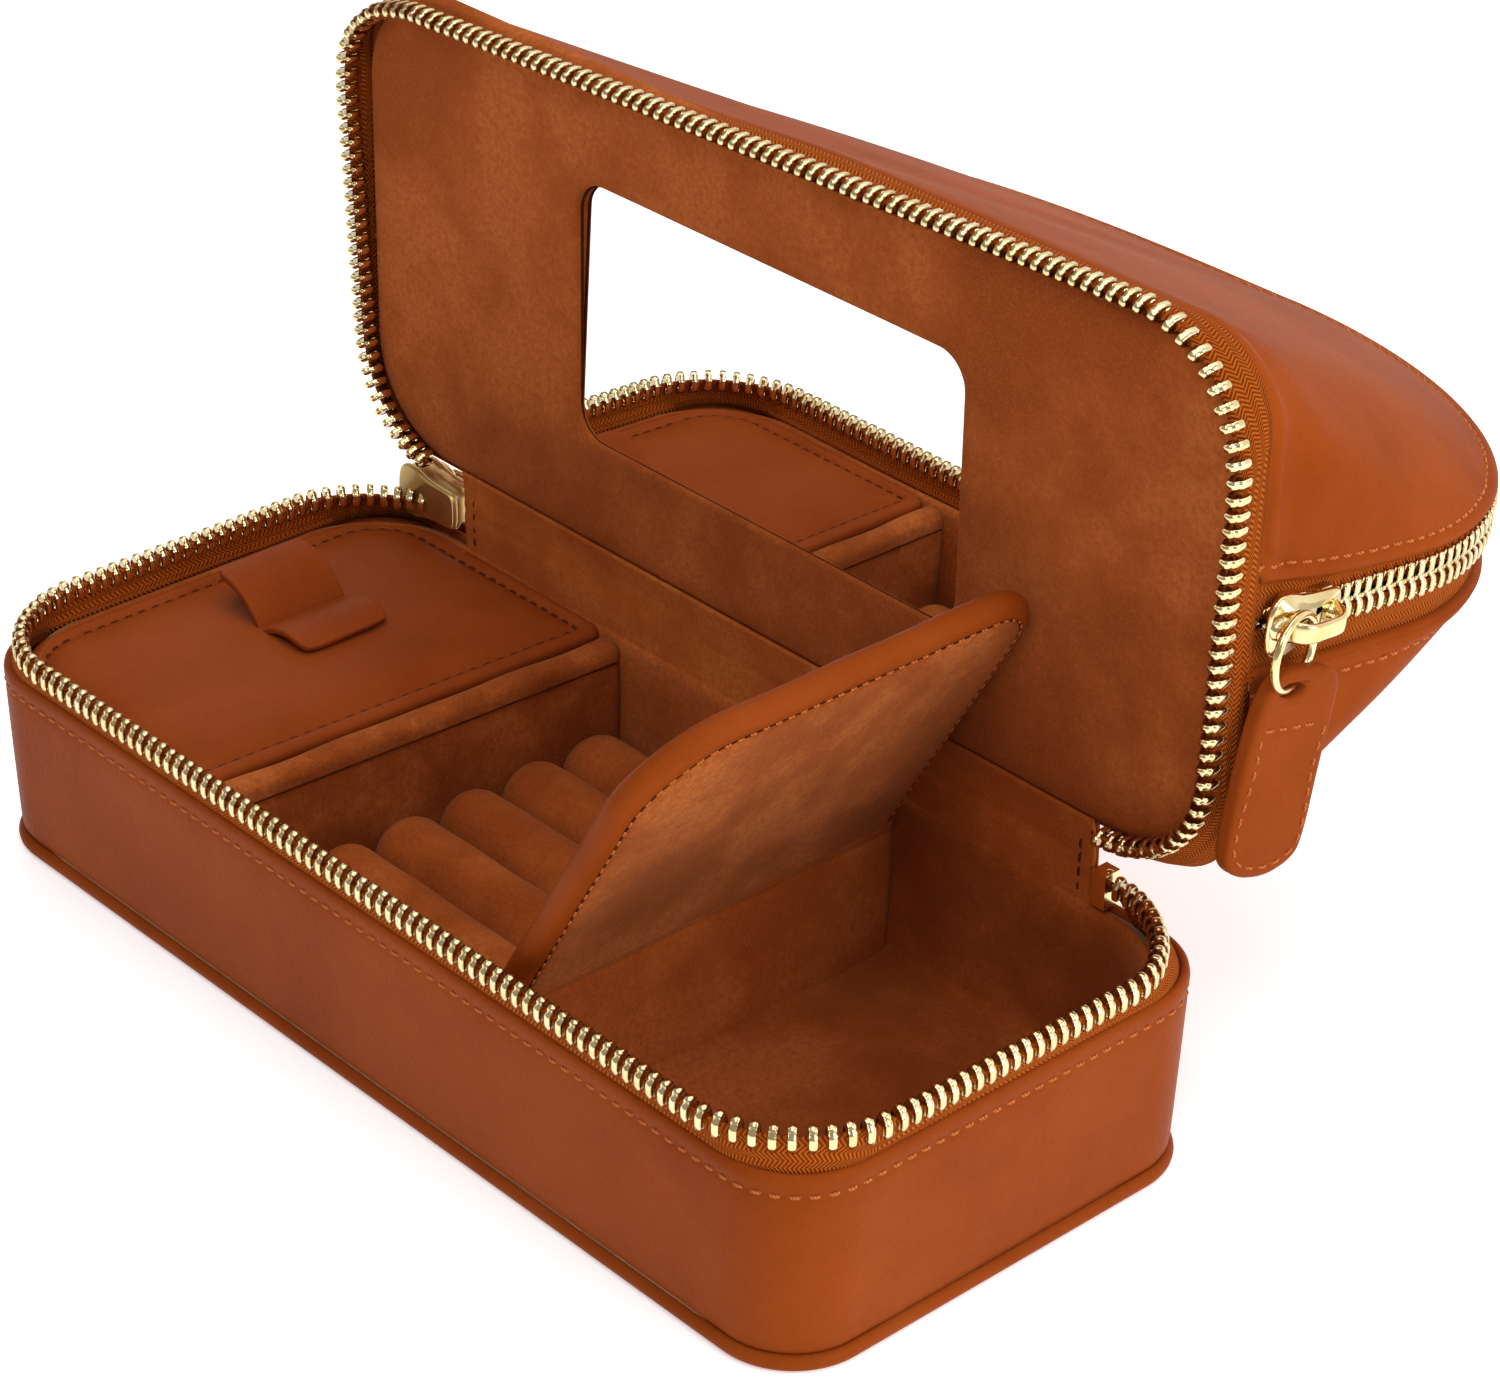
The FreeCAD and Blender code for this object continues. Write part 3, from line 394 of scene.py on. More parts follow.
def bag_at(x, v, h, lean=LEAN):
    """Bag coordinates (along, across the zip, away from the lid) to rest."""
    x, v, h = np.broadcast_arrays(np.asarray(x, float), np.asarray(v, float), np.asarray(h, float))
    yc = -1.0 + v * math.cos(lean) + h * math.sin(lean)
    zc = ZH - v * math.sin(lean) + h * math.cos(lean)
    return opened(np.stack([x, yc, zc], -1))


def soft_at(x, v, h):
    """The bag itself hangs a little lower than its slider stands."""
    return bag_at(x, v, h, math.radians(7.18))


def settle(P_):
    """The lid's far edge sinks towards its left end (closed-lid x and y)."""
    P_ = np.array(P_, float)
    t = np.clip((25.0 - P_[:, 0]) / 70.0, 0, 1)
    P_[:, 1] += 3.6 * t * t * (3 - 2 * t) * np.clip((-P_[:, 1] - 20.0) / 20.0, 0, 1)
    return P_


def stitches(points, normals, length=2.3, pitch=3.1, radius=0.33, lift=0.12, slant=0.0):
    """Thread stitches along a polyline: rounded grains that dip into the leather at both ends."""
    points, normals = np.asarray(points, float), np.asarray(normals, float)
    seg = np.linalg.norm(np.diff(points, axis=0), axis=1)
    s = np.concatenate([[0], np.cumsum(seg)])
    count = int(s[-1] / pitch)
    out = []
    at = lambda t, arr: np.stack([np.interp(t, s, arr[:, k]) for k in range(3)], -1)
    for k in range(count):
        c = (k + 0.5) * pitch
        t = np.linspace(c - length / 2, c + length / 2, 6)
        p, nn = at(t, points), at(t, normals)
        nn /= np.linalg.norm(nn, axis=1)[:, None] + 1e-9
        tan = np.gradient(p, axis=0)
        tan /= np.linalg.norm(tan, axis=1)[:, None] + 1e-9
        side = np.cross(nn, tan)
        w = np.linspace(-1, 1, 6)
        p = p + side * (w * slant)[:, None]
        high = lift * (1 - w ** 4) - 0.28 * w ** 4
        r = radius * (1 - 0.55 * w ** 6)
        ring = []
        for a in np.linspace(0, 2 * math.pi, 7)[:-1]:
            ring.append(p + nn * (high + r * math.cos(a) * 0.8)[:, None] + side * (r * math.sin(a))[:, None])
        V = np.stack(ring, 1).reshape(-1, 3)
        f = grid_faces(6, 6, wrap_v=True)
        f += [tuple(range(5, -1, -1)), tuple(range(30, 36))]
        out.append((V, f))
    return join(out)


def tube(points, radius, n=10, closed=False):
    """A round tube along points, with rounded-off ends if open."""
    p = np.asarray(points, float)
    m_ = len(p)
    tan = np.roll(p, -1, 0) - np.roll(p, 1, 0) if closed else np.gradient(p, axis=0)
    tan /= np.linalg.norm(tan, axis=1)[:, None]
    up = np.array([0.0, 0, 1.0]) if abs(tan[0][2]) < 0.9 else np.array([1.0, 0, 0])
    rows = []
    nrm = np.cross(tan[0], up)
    nrm /= np.linalg.norm(nrm)
    rad = np.full(m_, radius) if np.isscalar(radius) else np.asarray(radius)
    for i in range(m_):
        nrm = nrm - tan[i] * nrm.dot(tan[i])
        nrm /= np.linalg.norm(nrm)
        b = np.cross(tan[i], nrm)
        a = np.linspace(0, 2 * math.pi, n, endpoint=False)
        rows.append(p[i] + rad[i] * (np.cos(a)[:, None] * nrm + np.sin(a)[:, None] * b))
    V = np.vstack(rows)
    f = grid_faces(m_, n, wrap_u=closed, wrap_v=True)
    if not closed:
        f += [tuple(range(n - 1, -1, -1)), tuple(range((m_ - 1) * n, m_ * n))]
    return V, f


# ------------------------------------------------------------------ zip teeth
def tooth_shape():
    """One tooth: two legs clamped over the tape's edge under a rounded head.  Axes: along, across, up."""
    prof = [(-1.55, -2.0), (-0.75, -2.1), (-0.62, -0.4), (0.62, -0.4), (0.75, -2.1), (1.55, -2.0), (1.72, -1.2), (1.72, 0.2),
            (1.5, 0.75), (1.02, 1.05), (1.02, 1.55), (0.7, 1.95), (0.25, 2.1), (-0.25, 2.1), (-0.7, 1.95), (-1.02, 1.55),
            (-1.02, 1.05), (-1.5, 0.75), (-1.72, 0.2), (-1.72, -1.2)]
    prof = np.array(prof) * [0.9, 0.95]
    mid = prof.mean(0)
    V = []
    for t, k in ((-0.6, 0.84), (-0.42, 1.0), (0.42, 1.0), (0.6, 0.84)):
        q = mid + (prof - mid) * k
        V.append(np.column_stack([np.full(len(q), t), q]))
    n = len(prof)
    f = grid_faces(4, n, wrap_v=True)
    legs = ((0, 1, 2, 18, 19), (3, 4, 5, 6, 7), (2, 3, 7, 8, 9, 16, 17, 18), (9, 10, 11, 12, 13, 14, 15, 16))
    for q in legs:
        f.append(tuple(reversed(q)))
        f.append(tuple(3 * n + i for i in q))
    return np.vstack(V), f


TOOTH = tooth_shape()


def teeth(points, across, up, jitter=0.03):
    """Teeth set at points, with the given across and up directions."""
    tv, tf = TOOTH
    points, across, up = (np.asarray(q, float) for q in (points, across, up))
    across = across / np.linalg.norm(across, axis=1)[:, None]
    up = up - across * (up * across).sum(1)[:, None]
    up = up / np.linalg.norm(up, axis=1)[:, None]
    along = np.cross(across, up)
    k = len(points)
    wob = rng.normal(0, jitter, (k, 3))
    V = (points + wob)[:, None, :] + tv[None, :, :1] * along[:, None, :] + tv[None, :, 1:2] * across[:, None, :] + \
        tv[None, :, 2:3] * up[:, None, :]
    n = len(tv)
    F = [tuple(i + j * n for i in q) for j in range(k) for q in tf]
    return V.reshape(-1, 3), F


# ------------------------------------------------------------------ tray shell
profile = [(-3.4, 2.2), (-2.2, 2.6), (-1.5, 3.0), (-1.14, 3.7), (-1.0, 5.0), (-0.72, 12.0), (-0.42, 20.0), (-0.16, 28.0),
           (-0.06, 31.2), (-0.14, 32.0), (-0.26, 32.5), (-0.26, 32.7), (-0.12, 33.2), (0.04, 34.0), (0.08, 34.9), (-0.1, 35.7), (-0.5, 36.1),
           (-1.05, 36.2), (-1.5, 35.9), (-1.66, 35.2), (-1.7, 33.5)]
SL, SW, SR = SKIN
V, F, uv = sweep_rim(profile, n=480, L=SL, W=SW, R=SR)
add("tray_wall_skin", V, F, LEATHER, "tray", gone=["tray_wall"], slot="leather")
s = np.linspace(0, rim_length(*SKIN), 900)
P, Nn = rim(SL, SW, SR, s)
P3 = np.column_stack([P + Nn * -0.24, np.full(len(s), 32.6)])
N3 = np.column_stack([Nn, np.zeros(len(s))])
add("tray_stitching", *stitches(P3, N3, length=2.0, pitch=2.95, radius=0.31, lift=0.12), THREAD, "tray")
# the base panel's turned edge, which stands out a little under the wall
a = np.linspace(-math.pi / 2, math.pi / 2, 9)
profile = [(-9.0, 0.0), (-6.0, 0.0)] + [(-1.55 + 1.3 * math.cos(t), 1.42 + 1.42 * math.sin(t)) for t in a] + [(-2.4, 2.5), (-3.4, 2.2)]
V, F, uv = sweep_rim(profile, n=480, L=SL, W=SW, R=SR)
add("base_edge", V, F, LEATHER, "tray", gone=["base_piping"], slot="leather")
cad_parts["base_panel"].data.materials.clear()
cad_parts["base_panel"].data.materials.append(LEATHER_EDGE)
for n in ("tray_board", "lid_board", "flap_board", "pad_support"):
    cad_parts[n].data.materials.clear()
    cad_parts[n].data.materials.append(BOARD)

# lining: floor, walls and the folded top edge inside the tape
L, W, R = TL - 2 * 3.3, TW - 2 * 3.3, TR - 3.3
lin_n = 420
profile = [(-17.0, 5.4), (-9.0, 5.4), (-3.4, 5.42), (-1.7, 5.8), (-1.05, 7.0), (-0.95, 12.0), (-0.98, 20.0), (-0.95, 29.0), (-0.9, 33.4), (-0.55, 34.9),
           (0.1, 35.6), (0.7, 35.5), (0.8, 34.8)]
V, F, uv = sweep_rim(profile, n=lin_n, L=L, W=W, R=R)
V = V.reshape(lin_n, len(profile), 3)
wave = 0.16 * np.sin(V[:, :, 0] * 0.11 + 1.3) * np.sin(V[:, :, 2] * 0.21) * (V[:, :, 2] > 8)
V[:, :, 1] += wave
V = V.reshape(-1, 3)
add("tray_lining_suede", V, F, SUEDE, "tray", gone=["tray_lining"], slot="suede")
fx, fy = np.meshgrid(np.linspace(-99, 99, 100), np.linspace(-40, 40, 42), indexing="ij")
fz = 5.42 + 0.05 * np.sin(fx * 0.13) * np.cos(fy * 0.17)
corner = (np.abs(fx) > 88) & (np.abs(fy) > 30)
fx = np.where(corner, np.sign(fx) * 88, fx)
add("tray_floor_suede", np.stack([fx, fy, fz], -1).reshape(-1, 3), grid_faces(100, 42), SUEDE, "tray")

# zip tape and teeth of tray and lid
S0, S1 = 80.0, TRAY_P - 84.0


def splay(P_, N_):
    """How far the open lid's chain leans out of line, so much at its ends and its far edge."""
    x_ = P_[:, 0]
    low_ = np.clip((30.0 - P_[:, 1]) / 50.0, 0, 1)
    return low_ * (3.4 * np.maximum(-N_[:, 0], 0) ** 2 + 1.6 * np.maximum(N_[:, 0], 0) ** 2) + \
        np.maximum(-N_[:, 1], 0) ** 2 * (0.5 + 2.9 * x_ / 90.0)


def lean_out(P_, N_):
    """The tray's chain stands nearly flush with the leather all round the open side."""
    return 1.9 * np.clip((40.0 - P_[:, 1]) / 15.0, 0, 1)


def zip_half(tag, body, base, tip, place, gone_tape, gone_teeth, s0, s1, foot, lean=None):
    """Tape from the leather's edge to its row of teeth; place maps closed coordinates to rest."""
    up = 1.0 if tip > base else -1.0
    edge = tip - up * 2.1
    Lz, Wz, Rz = TL - 2 * 2.4, TW - 2 * 2.4, TR - 2.4
    k = rim_length(Lz, Wz, Rz) - TRAY_P
    n_ = 420
    st = np.linspace(s0, s1 + k, n_)
    Pz, Nz = rim(Lz, Wz, Rz, st)
    Pf, Nf = rim_at(share(st, Lz, Wz, Rz), *foot)
    if lean is not None:
        Pz = Pz + Nz * lean(Pz, Nz)[:, None]
    if up < 0:
        Pf = settle(Pf)
    levels = [0.0, 0.3, 0.6, 0.86, 1.0]
    rows, vs = [], []
    for side in (1, -1):
        for t in (levels if side > 0 else levels[::-1]):
            bow = 0.5 * math.sin(math.pi * t)
            xy = Pf + (Pz - Pf) * t + Nz * (side * 0.34 + bow)
            z = np.full(n_, base + (edge - base) * t)
            rows.append(np.column_stack([xy, z]))
            vs.append(np.linalg.norm(np.column_stack([Pz - Pf, np.full(n_, edge - base)]), axis=1) * t)
    V_ = np.stack(rows, 1)
    uv_ = np.stack([np.repeat(st[:, None], len(rows), 1), np.stack(vs, 1)], -1)
    m_ = len(rows)
    F_ = grid_faces(n_, m_, wrap_v=True) + [tuple(range(m_)), tuple(reversed(range((n_ - 1) * m_, n_ * m_)))]
    add("zip_tape_" + tag, place(V_.reshape(-1, 3)), F_, TAPE, body, uv=uv_.reshape(-1, 2), gone=[gone_tape], slot="tape")
    st = np.arange(s0 + 1.0, s1 + k - 1.0, PITCH) + (0 if up > 0 else PITCH / 2)
    P_, N_ = rim(Lz, Wz, Rz, st)
    if lean is not None:
        P_ = P_ + N_ * lean(P_, N_)[:, None]
    pts = np.column_stack([P_, np.full(len(st), edge)])
    ups = np.column_stack([np.zeros((len(st), 2)), np.full(len(st), up)])
    acr = np.column_stack([N_, np.zeros(len(st))])
    pts2, acr2, up2 = place(pts), place(pts + acr) - place(pts), place(pts + ups) - place(pts)
    V_, F_ = teeth(pts2, acr2, up2)
    add("zip_teeth_" + tag, V_, F_, BRASS, body, gone=[gone_teeth], slot="brass")


zip_half("tray", "tray", 34.6, 43.0, lambda v: v, "tray_zip_tape", "tray_zip_teeth", S0, S1, (SL - 3.2, SW - 3.2, SR - 1.6), lean_out)
zip_half("lid", "lid", 51.0, 43.3, opened, "lid_zip_tape", "lid_zip_teeth", S0 + 0.5, S1 - 1.0, (SL - 0.4, SW - 0.4, SR - 0.2), splay)

# ------------------------------------------------------------------ inside the tray
def slab(name, xs, ys, zs, mat, body, round_=1.8, tilt=0.0, gone=(), seam=False, slot=None):
    """A soft upholstered board standing across the tray, rounded along its top edge."""
    x0, x1 = xs
    y0, y1 = ys
    z0, z1 = zs
    ny = 60
    half = (x1 - x0) / 2
    a_ = np.linspace(0, math.pi, 9)
    prof = [(-half, z0)] + [(-half, z) for z in np.linspace(z0 + 4, z1 - round_ * 1.6, 5)]
    prof += [(-half * math.cos(t), z1 - round_ + round_ * math.sin(t)) for t in a_]
    prof += [(half, z) for z in np.linspace(z1 - round_ * 1.6, z0 + 4, 5)] + [(half, z0)]
    prof = np.array(prof)
    y = np.linspace(y0, y1, ny)
    V_ = np.zeros((ny, len(prof), 3))
    V_[:, :, 0] = (x0 + x1) / 2 + prof[None, :, 0] + tilt * y[:, None]
    V_[:, :, 1] = y[:, None]
    V_[:, :, 2] = prof[None, :, 1]
    V_[:, :, 0] += 0.18 * np.sin(y[:, None] * 0.23 + prof[None, :, 1] * 0.2)
    V_[:, :, 2] += 0.12 * np.sin(y[:, None] * 0.31 + 0.6) * (prof[None, :, 1] > z0 + 6)
    n_ = len(prof)
    F_ = grid_faces(ny, n_) + [tuple(range(n_)), tuple(reversed(range((ny - 1) * n_, ny * n_)))]
    return add(name, V_.reshape(-1, 3), F_, mat, body, gone=gone, slot=slot)


slab("divider_left_suede", (-41.8, -36.7), (-42.0, 42.0), (5.4, 35.0), SUEDE_LIGHT, "tray", 2.2, 0.045, ["divider_left"], slot="suede")
slab("divider_right_suede", (29.6, 34.4), (-42.0, 42.0), (5.4, 29.5), SUEDE, "tray", 1.0, 0.0, ["divider_right"], slot="suede")
# painted shade: a dark tube along the crease of the left divider's seam
y = np.linspace(-41.6, 41.6, 120)
line_ = np.column_stack([-36.45 + 0.045 * y, y, np.full(len(y), 31.5)])
add("divider_left_seam", *tube(line_, 0.16, 6), SEAM_SHADOW, "tray")

rolls = []
for k in range(6):
    yc = (k - 2.5) * 13.9
    nx, na = 70, 40
    x = np.linspace(-36.2, 29.2, nx)
    ang = np.linspace(0, 2 * math.pi, na, endpoint=False)
    V = np.zeros((nx, na, 3))
    endr = np.clip(np.minimum(x - x[0], x[-1] - x) / 4.0, 0, 1)
    endr = 0.55 + 0.45 * np.sqrt(1 - (1 - endr) ** 2)
    wob = 1 + 0.012 * np.sin(x[:, None] * 0.33 + k) + 0.012 * np.sin(ang[None, :] * 3 + x[:, None] * 0.12 + k * 2)
    r = 6.9 * endr[:, None] * wob
    V[:, :, 0] = x[:, None]
    V[:, :, 1] = yc + r * np.cos(ang)[None, :]
    V[:, :, 2] = 12.45 + r * np.sin(ang)[None, :] * 1.0
    F = grid_faces(nx, na, wrap_v=True, flip=True) + [tuple(range(na)), tuple(reversed(range((nx - 1) * na, nx * na)))]
    rolls.append((V.reshape(-1, 3), F))
rolls_obj = add("ring_rolls_suede", *join(rolls), SUEDE, "tray", gone=["ring_rolls"], slot="suede")

# the leather pad, with a channel along its border and the slit of the two tabs
PX0, PX1, PY = -102.2, -42.0, 43.4


def pad_outline(inset, n=200):
    x0, x1, h = PX0 + inset, PX1 - inset, PY - inset
    r = max(14.0 - inset, 1.0)
    r2 = max(3.0 - inset * 0.5, 0.6)
    pts = []
    for cx, cy, rr, st in ((x0 + r, -h + r, r, 180), (x1 - r2, -h + r2, r2, 270), (x1 - r2, h - r2, r2, 0), (x0 + r, h - r, r, 90)):
        for t in np.radians(np.linspace(st, st + 90, 14)):
            pts.append((cx + rr * math.cos(t), cy + rr * math.sin(t)))
    pts = np.array(pts + pts[:1])
    d = np.concatenate([[0], np.cumsum(np.hypot(*np.diff(pts, axis=0).T))])
    t = np.linspace(0, d[-1], n, endpoint=False)
    return np.column_stack([np.interp(t, d, pts[:, 0]), np.interp(t, d, pts[:, 1])])


rings = [(1.6, 27.2), (1.2, 28.4), (0.9, 31.6), (0.2, 33.4), (0.0, 34.3), (0.25, 35.0), (0.9, 35.45), (1.8, 35.55), (2.6, 35.35), (3.05, 34.8), (3.4, 34.6), (3.75, 34.8), (4.4, 35.35),
         (6.3, 35.95), (9.5, 36.3), (14.0, 36.5), (19.0, 36.55)]
n = 240
base = pad_outline(0.0, n)
mid = np.array([(PX0 + PX1) / 2, 0.0])
V = []
for inset, z in rings:
    q = pad_outline(inset, n)
    V.append(np.column_stack([q, np.full(n, z)]))
V = np.array(V)
F = grid_faces(len(rings), n, wrap_v=True, flip=True)
V = V.reshape(-1, 3)
last = (len(rings) - 1) * n
V = np.vstack([V, [[mid[0], mid[1], 36.55]]])
F += [(last + i, last + (i + 1) % n, len(V) - 1) for i in range(n)]
F += [tuple(range(n - 1, -1, -1))]
V[:, 0] += 0.045 * V[:, 1] * np.clip((V[:, 0] + 76.0) / 33.0, 0, 1)
dip = np.exp(-(((V[:, 0] + 77.6) / 3.2) ** 2)) * np.exp(-(((V[:, 1] - 5) / 10.5) ** 4)) * (V[:, 2] > 35.8)
V[:, 2] -= 0.9 * dip
pad_obj = add("pad_leather", V, F, LEATHER_PAD, "tray", gone=["pendant_pad"], slot="leather")
q = pad_outline(3.35, 700)
q[:, 0] += 0.045 * q[:, 1] * np.clip((q[:, 0] + 76.0) / 33.0, 0, 1)
q = np.column_stack([q, np.full(len(q), 34.78)])
add("pad_stitching", *stitches(q, np.tile([0, 0, 1.0], (len(q), 1)), 2.0, 2.9, 0.27, 0.02), THREAD_DARK, "tray")
# painted shade: a dark tube down the slit the tabs come out of
yy = np.linspace(-4.8, 14.8, 40)
slit = np.column_stack([np.full(40, -77.5) + 0.15 * np.sin(yy * 0.4), yy, np.full(40, 35.85)])
add("pad_slit", *tube(slit, 0.34, 8), SEAM_SHADOW, "tray")


def curled_tab(name, body, x, z, way, length, lift0, lift1, mat, gone):
    """A leather tab rising out of the slit and curling along its length."""
    nl, nw = 26, 30
    t = np.linspace(0, 1, nl)
    ang = np.radians(lift0 + (lift1 - lift0) * t ** 0.9)
    step = length / (nl - 1)
    px = x + way * np.concatenate([[0], np.cumsum(np.cos(ang[1:]) * step)])
    pz = z + np.concatenate([[0], np.cumsum(np.sin(ang[1:]) * step)])
    w = np.linspace(-1, 1, nw)
    V_ = np.zeros((nl, nw, 3))
    half = 9.4 * (1 - 0.10 * np.clip((t - 0.82) / 0.18, 0, 1) ** 2)
    V_[:, :, 0] = px[:, None] - way * 0.5 * (np.abs(w)[None, :] ** 6) * t[:, None]
    V_[:, :, 1] = 5.0 + half[:, None] * w[None, :]
    V_[:, :, 2] = pz[:, None] + 0.35 * t[:, None] * (w[None, :] ** 2) + 0.15 * np.sin(w[None, :] * 3 + 1) * t[:, None]
    o = add(name, V_.reshape(-1, 3), grid_faces(nl, nw, flip=(way > 0)), mat, body, gone=[gone], slot="leather")
    s_ = o.modifiers.new("thick", "SOLIDIFY")
    s_.thickness, s_.offset = 1.3 * MM, 0.0
    b_ = o.modifiers.new("bevel", "BEVEL")
    b_.width, b_.segments, b_.limit_method = 0.35 * MM, 2, "ANGLE"
    return o


curled_tab("pad_tab_tall", "pad_tab_a", -78.0, 35.7, -1, 15.4, 66.0, -6.0, LEATHER_PAD, "pad_tab_a")
curled_tab("pad_tab_low", "pad_tab_b", -77.0, 35.9, 1, 13.4, 40.0, -22.0, LEATHER_PAD, "pad_tab_b")

# ------------------------------------------------------------------ flap
FA = math.radians(60.0)


def flap_at(d, y, n):
    """Flap coordinates (from the hinge, across, out of its upper face) to rest."""
    d, y, n = np.broadcast_arrays(np.asarray(d, float), np.asarray(y, float), np.asarray(n, float))
    return np.stack([33.0 + d * math.cos(FA) - n * math.sin(FA), y, 32.0 + d * math.sin(FA) + n * math.cos(FA)], -1)


def flap_outline(inset, n=260):
    """Round the flap's edge from the hinge at the front, over the free end, to the hinge at the rear."""
    d1, yf, yr = 67.8 - inset, -41.6 + inset, 41.6 - inset
    rf, rr = max(17.0 - inset, 2.0), max(12.5 - inset, 2.0)
    pts = [(2.4, yf), (d1 - rf, yf)]
    pts += [(d1 - rf + rf * math.sin(t), yf + rf - rf * math.cos(t)) for t in np.linspace(0, math.pi / 2, 20)]
    pts += [(d1 - rr + rr * math.cos(t), yr - rr + rr * math.sin(t)) for t in np.linspace(0, math.pi / 2, 20)]
    pts += [(2.4, yr)]
    pts = np.array(pts)
    s_ = np.concatenate([[0], np.cumsum(np.hypot(*np.diff(pts, axis=0).T))])
    t = np.linspace(0, s_[-1], n)
    return np.column_stack([np.interp(t, s_, pts[:, 0]), np.interp(t, s_, pts[:, 1])])


def drawn_in(inset, k):
    """The flap's outline, inset and then shrunk towards the middle of its hinge side."""
    q_ = flap_outline(inset)
    return np.array([2.4, 0.0]) + (q_ - [2.4, 0.0]) * k


n = 260
a = np.linspace(math.pi / 2, -math.pi / 2, 13)
prof = [(3.2, k, 2.3) for k in (0.001, 0.25, 0.5, 0.75, 0.9)] + [(3.2, 1.0, 2.42)]
prof += [(2.4 - 2.4 * math.cos(t), 1.0, 2.46 * math.sin(t)) for t in a] + [(2.8, 1.0, -2.34), (3.2, 1.0, -1.85), (3.4, 1.0, -1.0)]
V = []
for inset, k, up_ in prof:
    q = drawn_in(inset, k)
    V.append(flap_at(q[:, 0], q[:, 1], np.full(n, up_) + 0.06 * np.sin(np.arange(n) * 0.21) * (k >= 1.0)))
V = np.array(V)
F = grid_faces(len(prof), n, flip=True)
flap_obj = add("flap_leather", V.reshape(-1, 3), F, LEATHER, "flap", gone=["flap_cover"], slot="leather")
# suede face, crowned, in the rolled edge
rings = [(3.3, 1.0, -1.0), (3.05, 1.0, -2.0), (3.2, 1.0, -2.5), (3.9, 1.0, -2.85), (5.8, 1.0, -3.05)]
rings += [(5.8, k, -3.15) for k in (0.92, 0.84, 0.75, 0.66, 0.57, 0.48, 0.39, 0.3, 0.21, 0.12, 0.001)]
V = []
for inset, k, up_ in rings:
    q = drawn_in(inset, k)
    wave = 0.22 * np.sin(q[:, 0] * 0.13 + q[:, 1] * 0.05) * (k < 1)
    V.append(flap_at(q[:, 0], q[:, 1], up_ + wave))
V = np.array(V)
F = grid_faces(len(rings), n)
add("flap_suede_face", V.reshape(-1, 3), F, SUEDE_LIGHT, "flap", gone=["flap_suede"], slot="suede")
# painted shade: a dark tube in the groove between the flap's rolled edge and its suede face
q = flap_outline(2.95, 700)
q = q[(q[:, 0] > 3)]
add("flap_groove", *tube(flap_at(q[:, 0], q[:, 1], -2.1), 0.45, 8), SEAM_SHADOW, "flap")
nn = flap_at(q[:, 0], q[:, 1], -4.0) - flap_at(q[:, 0], q[:, 1], -3.0)
q2 = flap_outline(2.85, 700)
q2 = q2[(q2[:, 0] > 3)]
nn = flap_at(q2[:, 0], q2[:, 1], -4.0) - flap_at(q2[:, 0], q2[:, 1], -3.0)
add("flap_stitching", *stitches(flap_at(q2[:, 0], q2[:, 1], -2.4), nn, 1.7, 2.5, 0.26, 0.12), THREAD, "flap")
# the seam the flap bends on
yy = np.linspace(-41.4, 41.2, 90)
a = np.linspace(0, 2 * math.pi, 22, endpoint=False)
V = np.zeros((90, 22, 3))
V[:, :, 0] = 33.0 + 2.35 * np.cos(a)[None, :]
V[:, :, 1] = yy[:, None]
V[:, :, 2] = 31.4 + 2.3 * np.sin(a)[None, :] + 0.08 * np.sin(yy * 0.3)[:, None]
F = grid_faces(90, 22, wrap_v=True) + [tuple(range(22)), tuple(reversed(range(89 * 22, 90 * 22)))]
add("flap_seam_bead", V.reshape(-1, 3), F, SUEDE, "tray", gone=["flap_hinge"], slot="leather")

# ------------------------------------------------------------------ lid face
LP, LWd, LR = 205.6, 88.4, 19.8
n = 360
profile_in = [(0.3, 50.6), (0.1, 49.2), (-0.5, 48.3), (-1.4, 47.95), (-4.0, 47.85), (-9.0, 47.85)]
V, F, uv = sweep_rim(profile_in, n=n, L=LP, W=LWd, R=LR)
V = V.reshape(n, len(profile_in), 3)
P0, _ = rim(LP, LWd, LR, np.linspace(0, rim_length(LP, LWd, LR), n, endpoint=False))
win = np.zeros((n, 2))
WLn, WWd, WR = 92.0, 48.0, 6.0
for i, (px, py) in enumerate(P0):
    # the window's outline met by a ray from the middle, with rounded corners
    k = 1e9
    best = None
    for t in (WLn / 2 / max(abs(px), 1e-6), WWd / 2 / max(abs(py), 1e-6)):
        k = min(k, t)
    x_, y_ = px * k, py * k
    cx, cy = WLn / 2 - WR, WWd / 2 - WR
    if abs(x_) > cx and abs(y_) > cy:
        dx, dy = abs(x_) - cx, abs(y_) - cy
        l_ = math.hypot(dx, dy)
        x_ = math.copysign(cx + dx / l_ * WR, x_)
        y_ = math.copysign(cy + dy / l_ * WR, y_)
    win[i] = (x_, y_)
cols = [V[:, j, :] for j in range(len(profile_in))]
outer_xy = cols[-1][:, :2]
for t in (0.3, 0.6, 0.85):
    q = outer_xy + (win - outer_xy) * t
    z = 47.85 + 0.07 * np.sin(q[:, 0] * 0.07) * np.cos(q[:, 1] * 0.09)
    cols.append(np.column_stack([q, z]))
dirn = win / np.linalg.norm(win, axis=1)[:, None]
for off, z in ((0.9, 47.86), (0.35, 47.95), (0.0, 48.3), (-0.25, 50.2)):
    cols.append(np.column_stack([win + dirn * off, np.full(n, z)]))
G = np.stack(cols, 1)
add("lid_suede", opened(G.reshape(-1, 3)), grid_faces(n, G.shape[1], wrap_u=True, flip=True), SUEDE, "lid", gone=["lid_lining"], slot="suede")
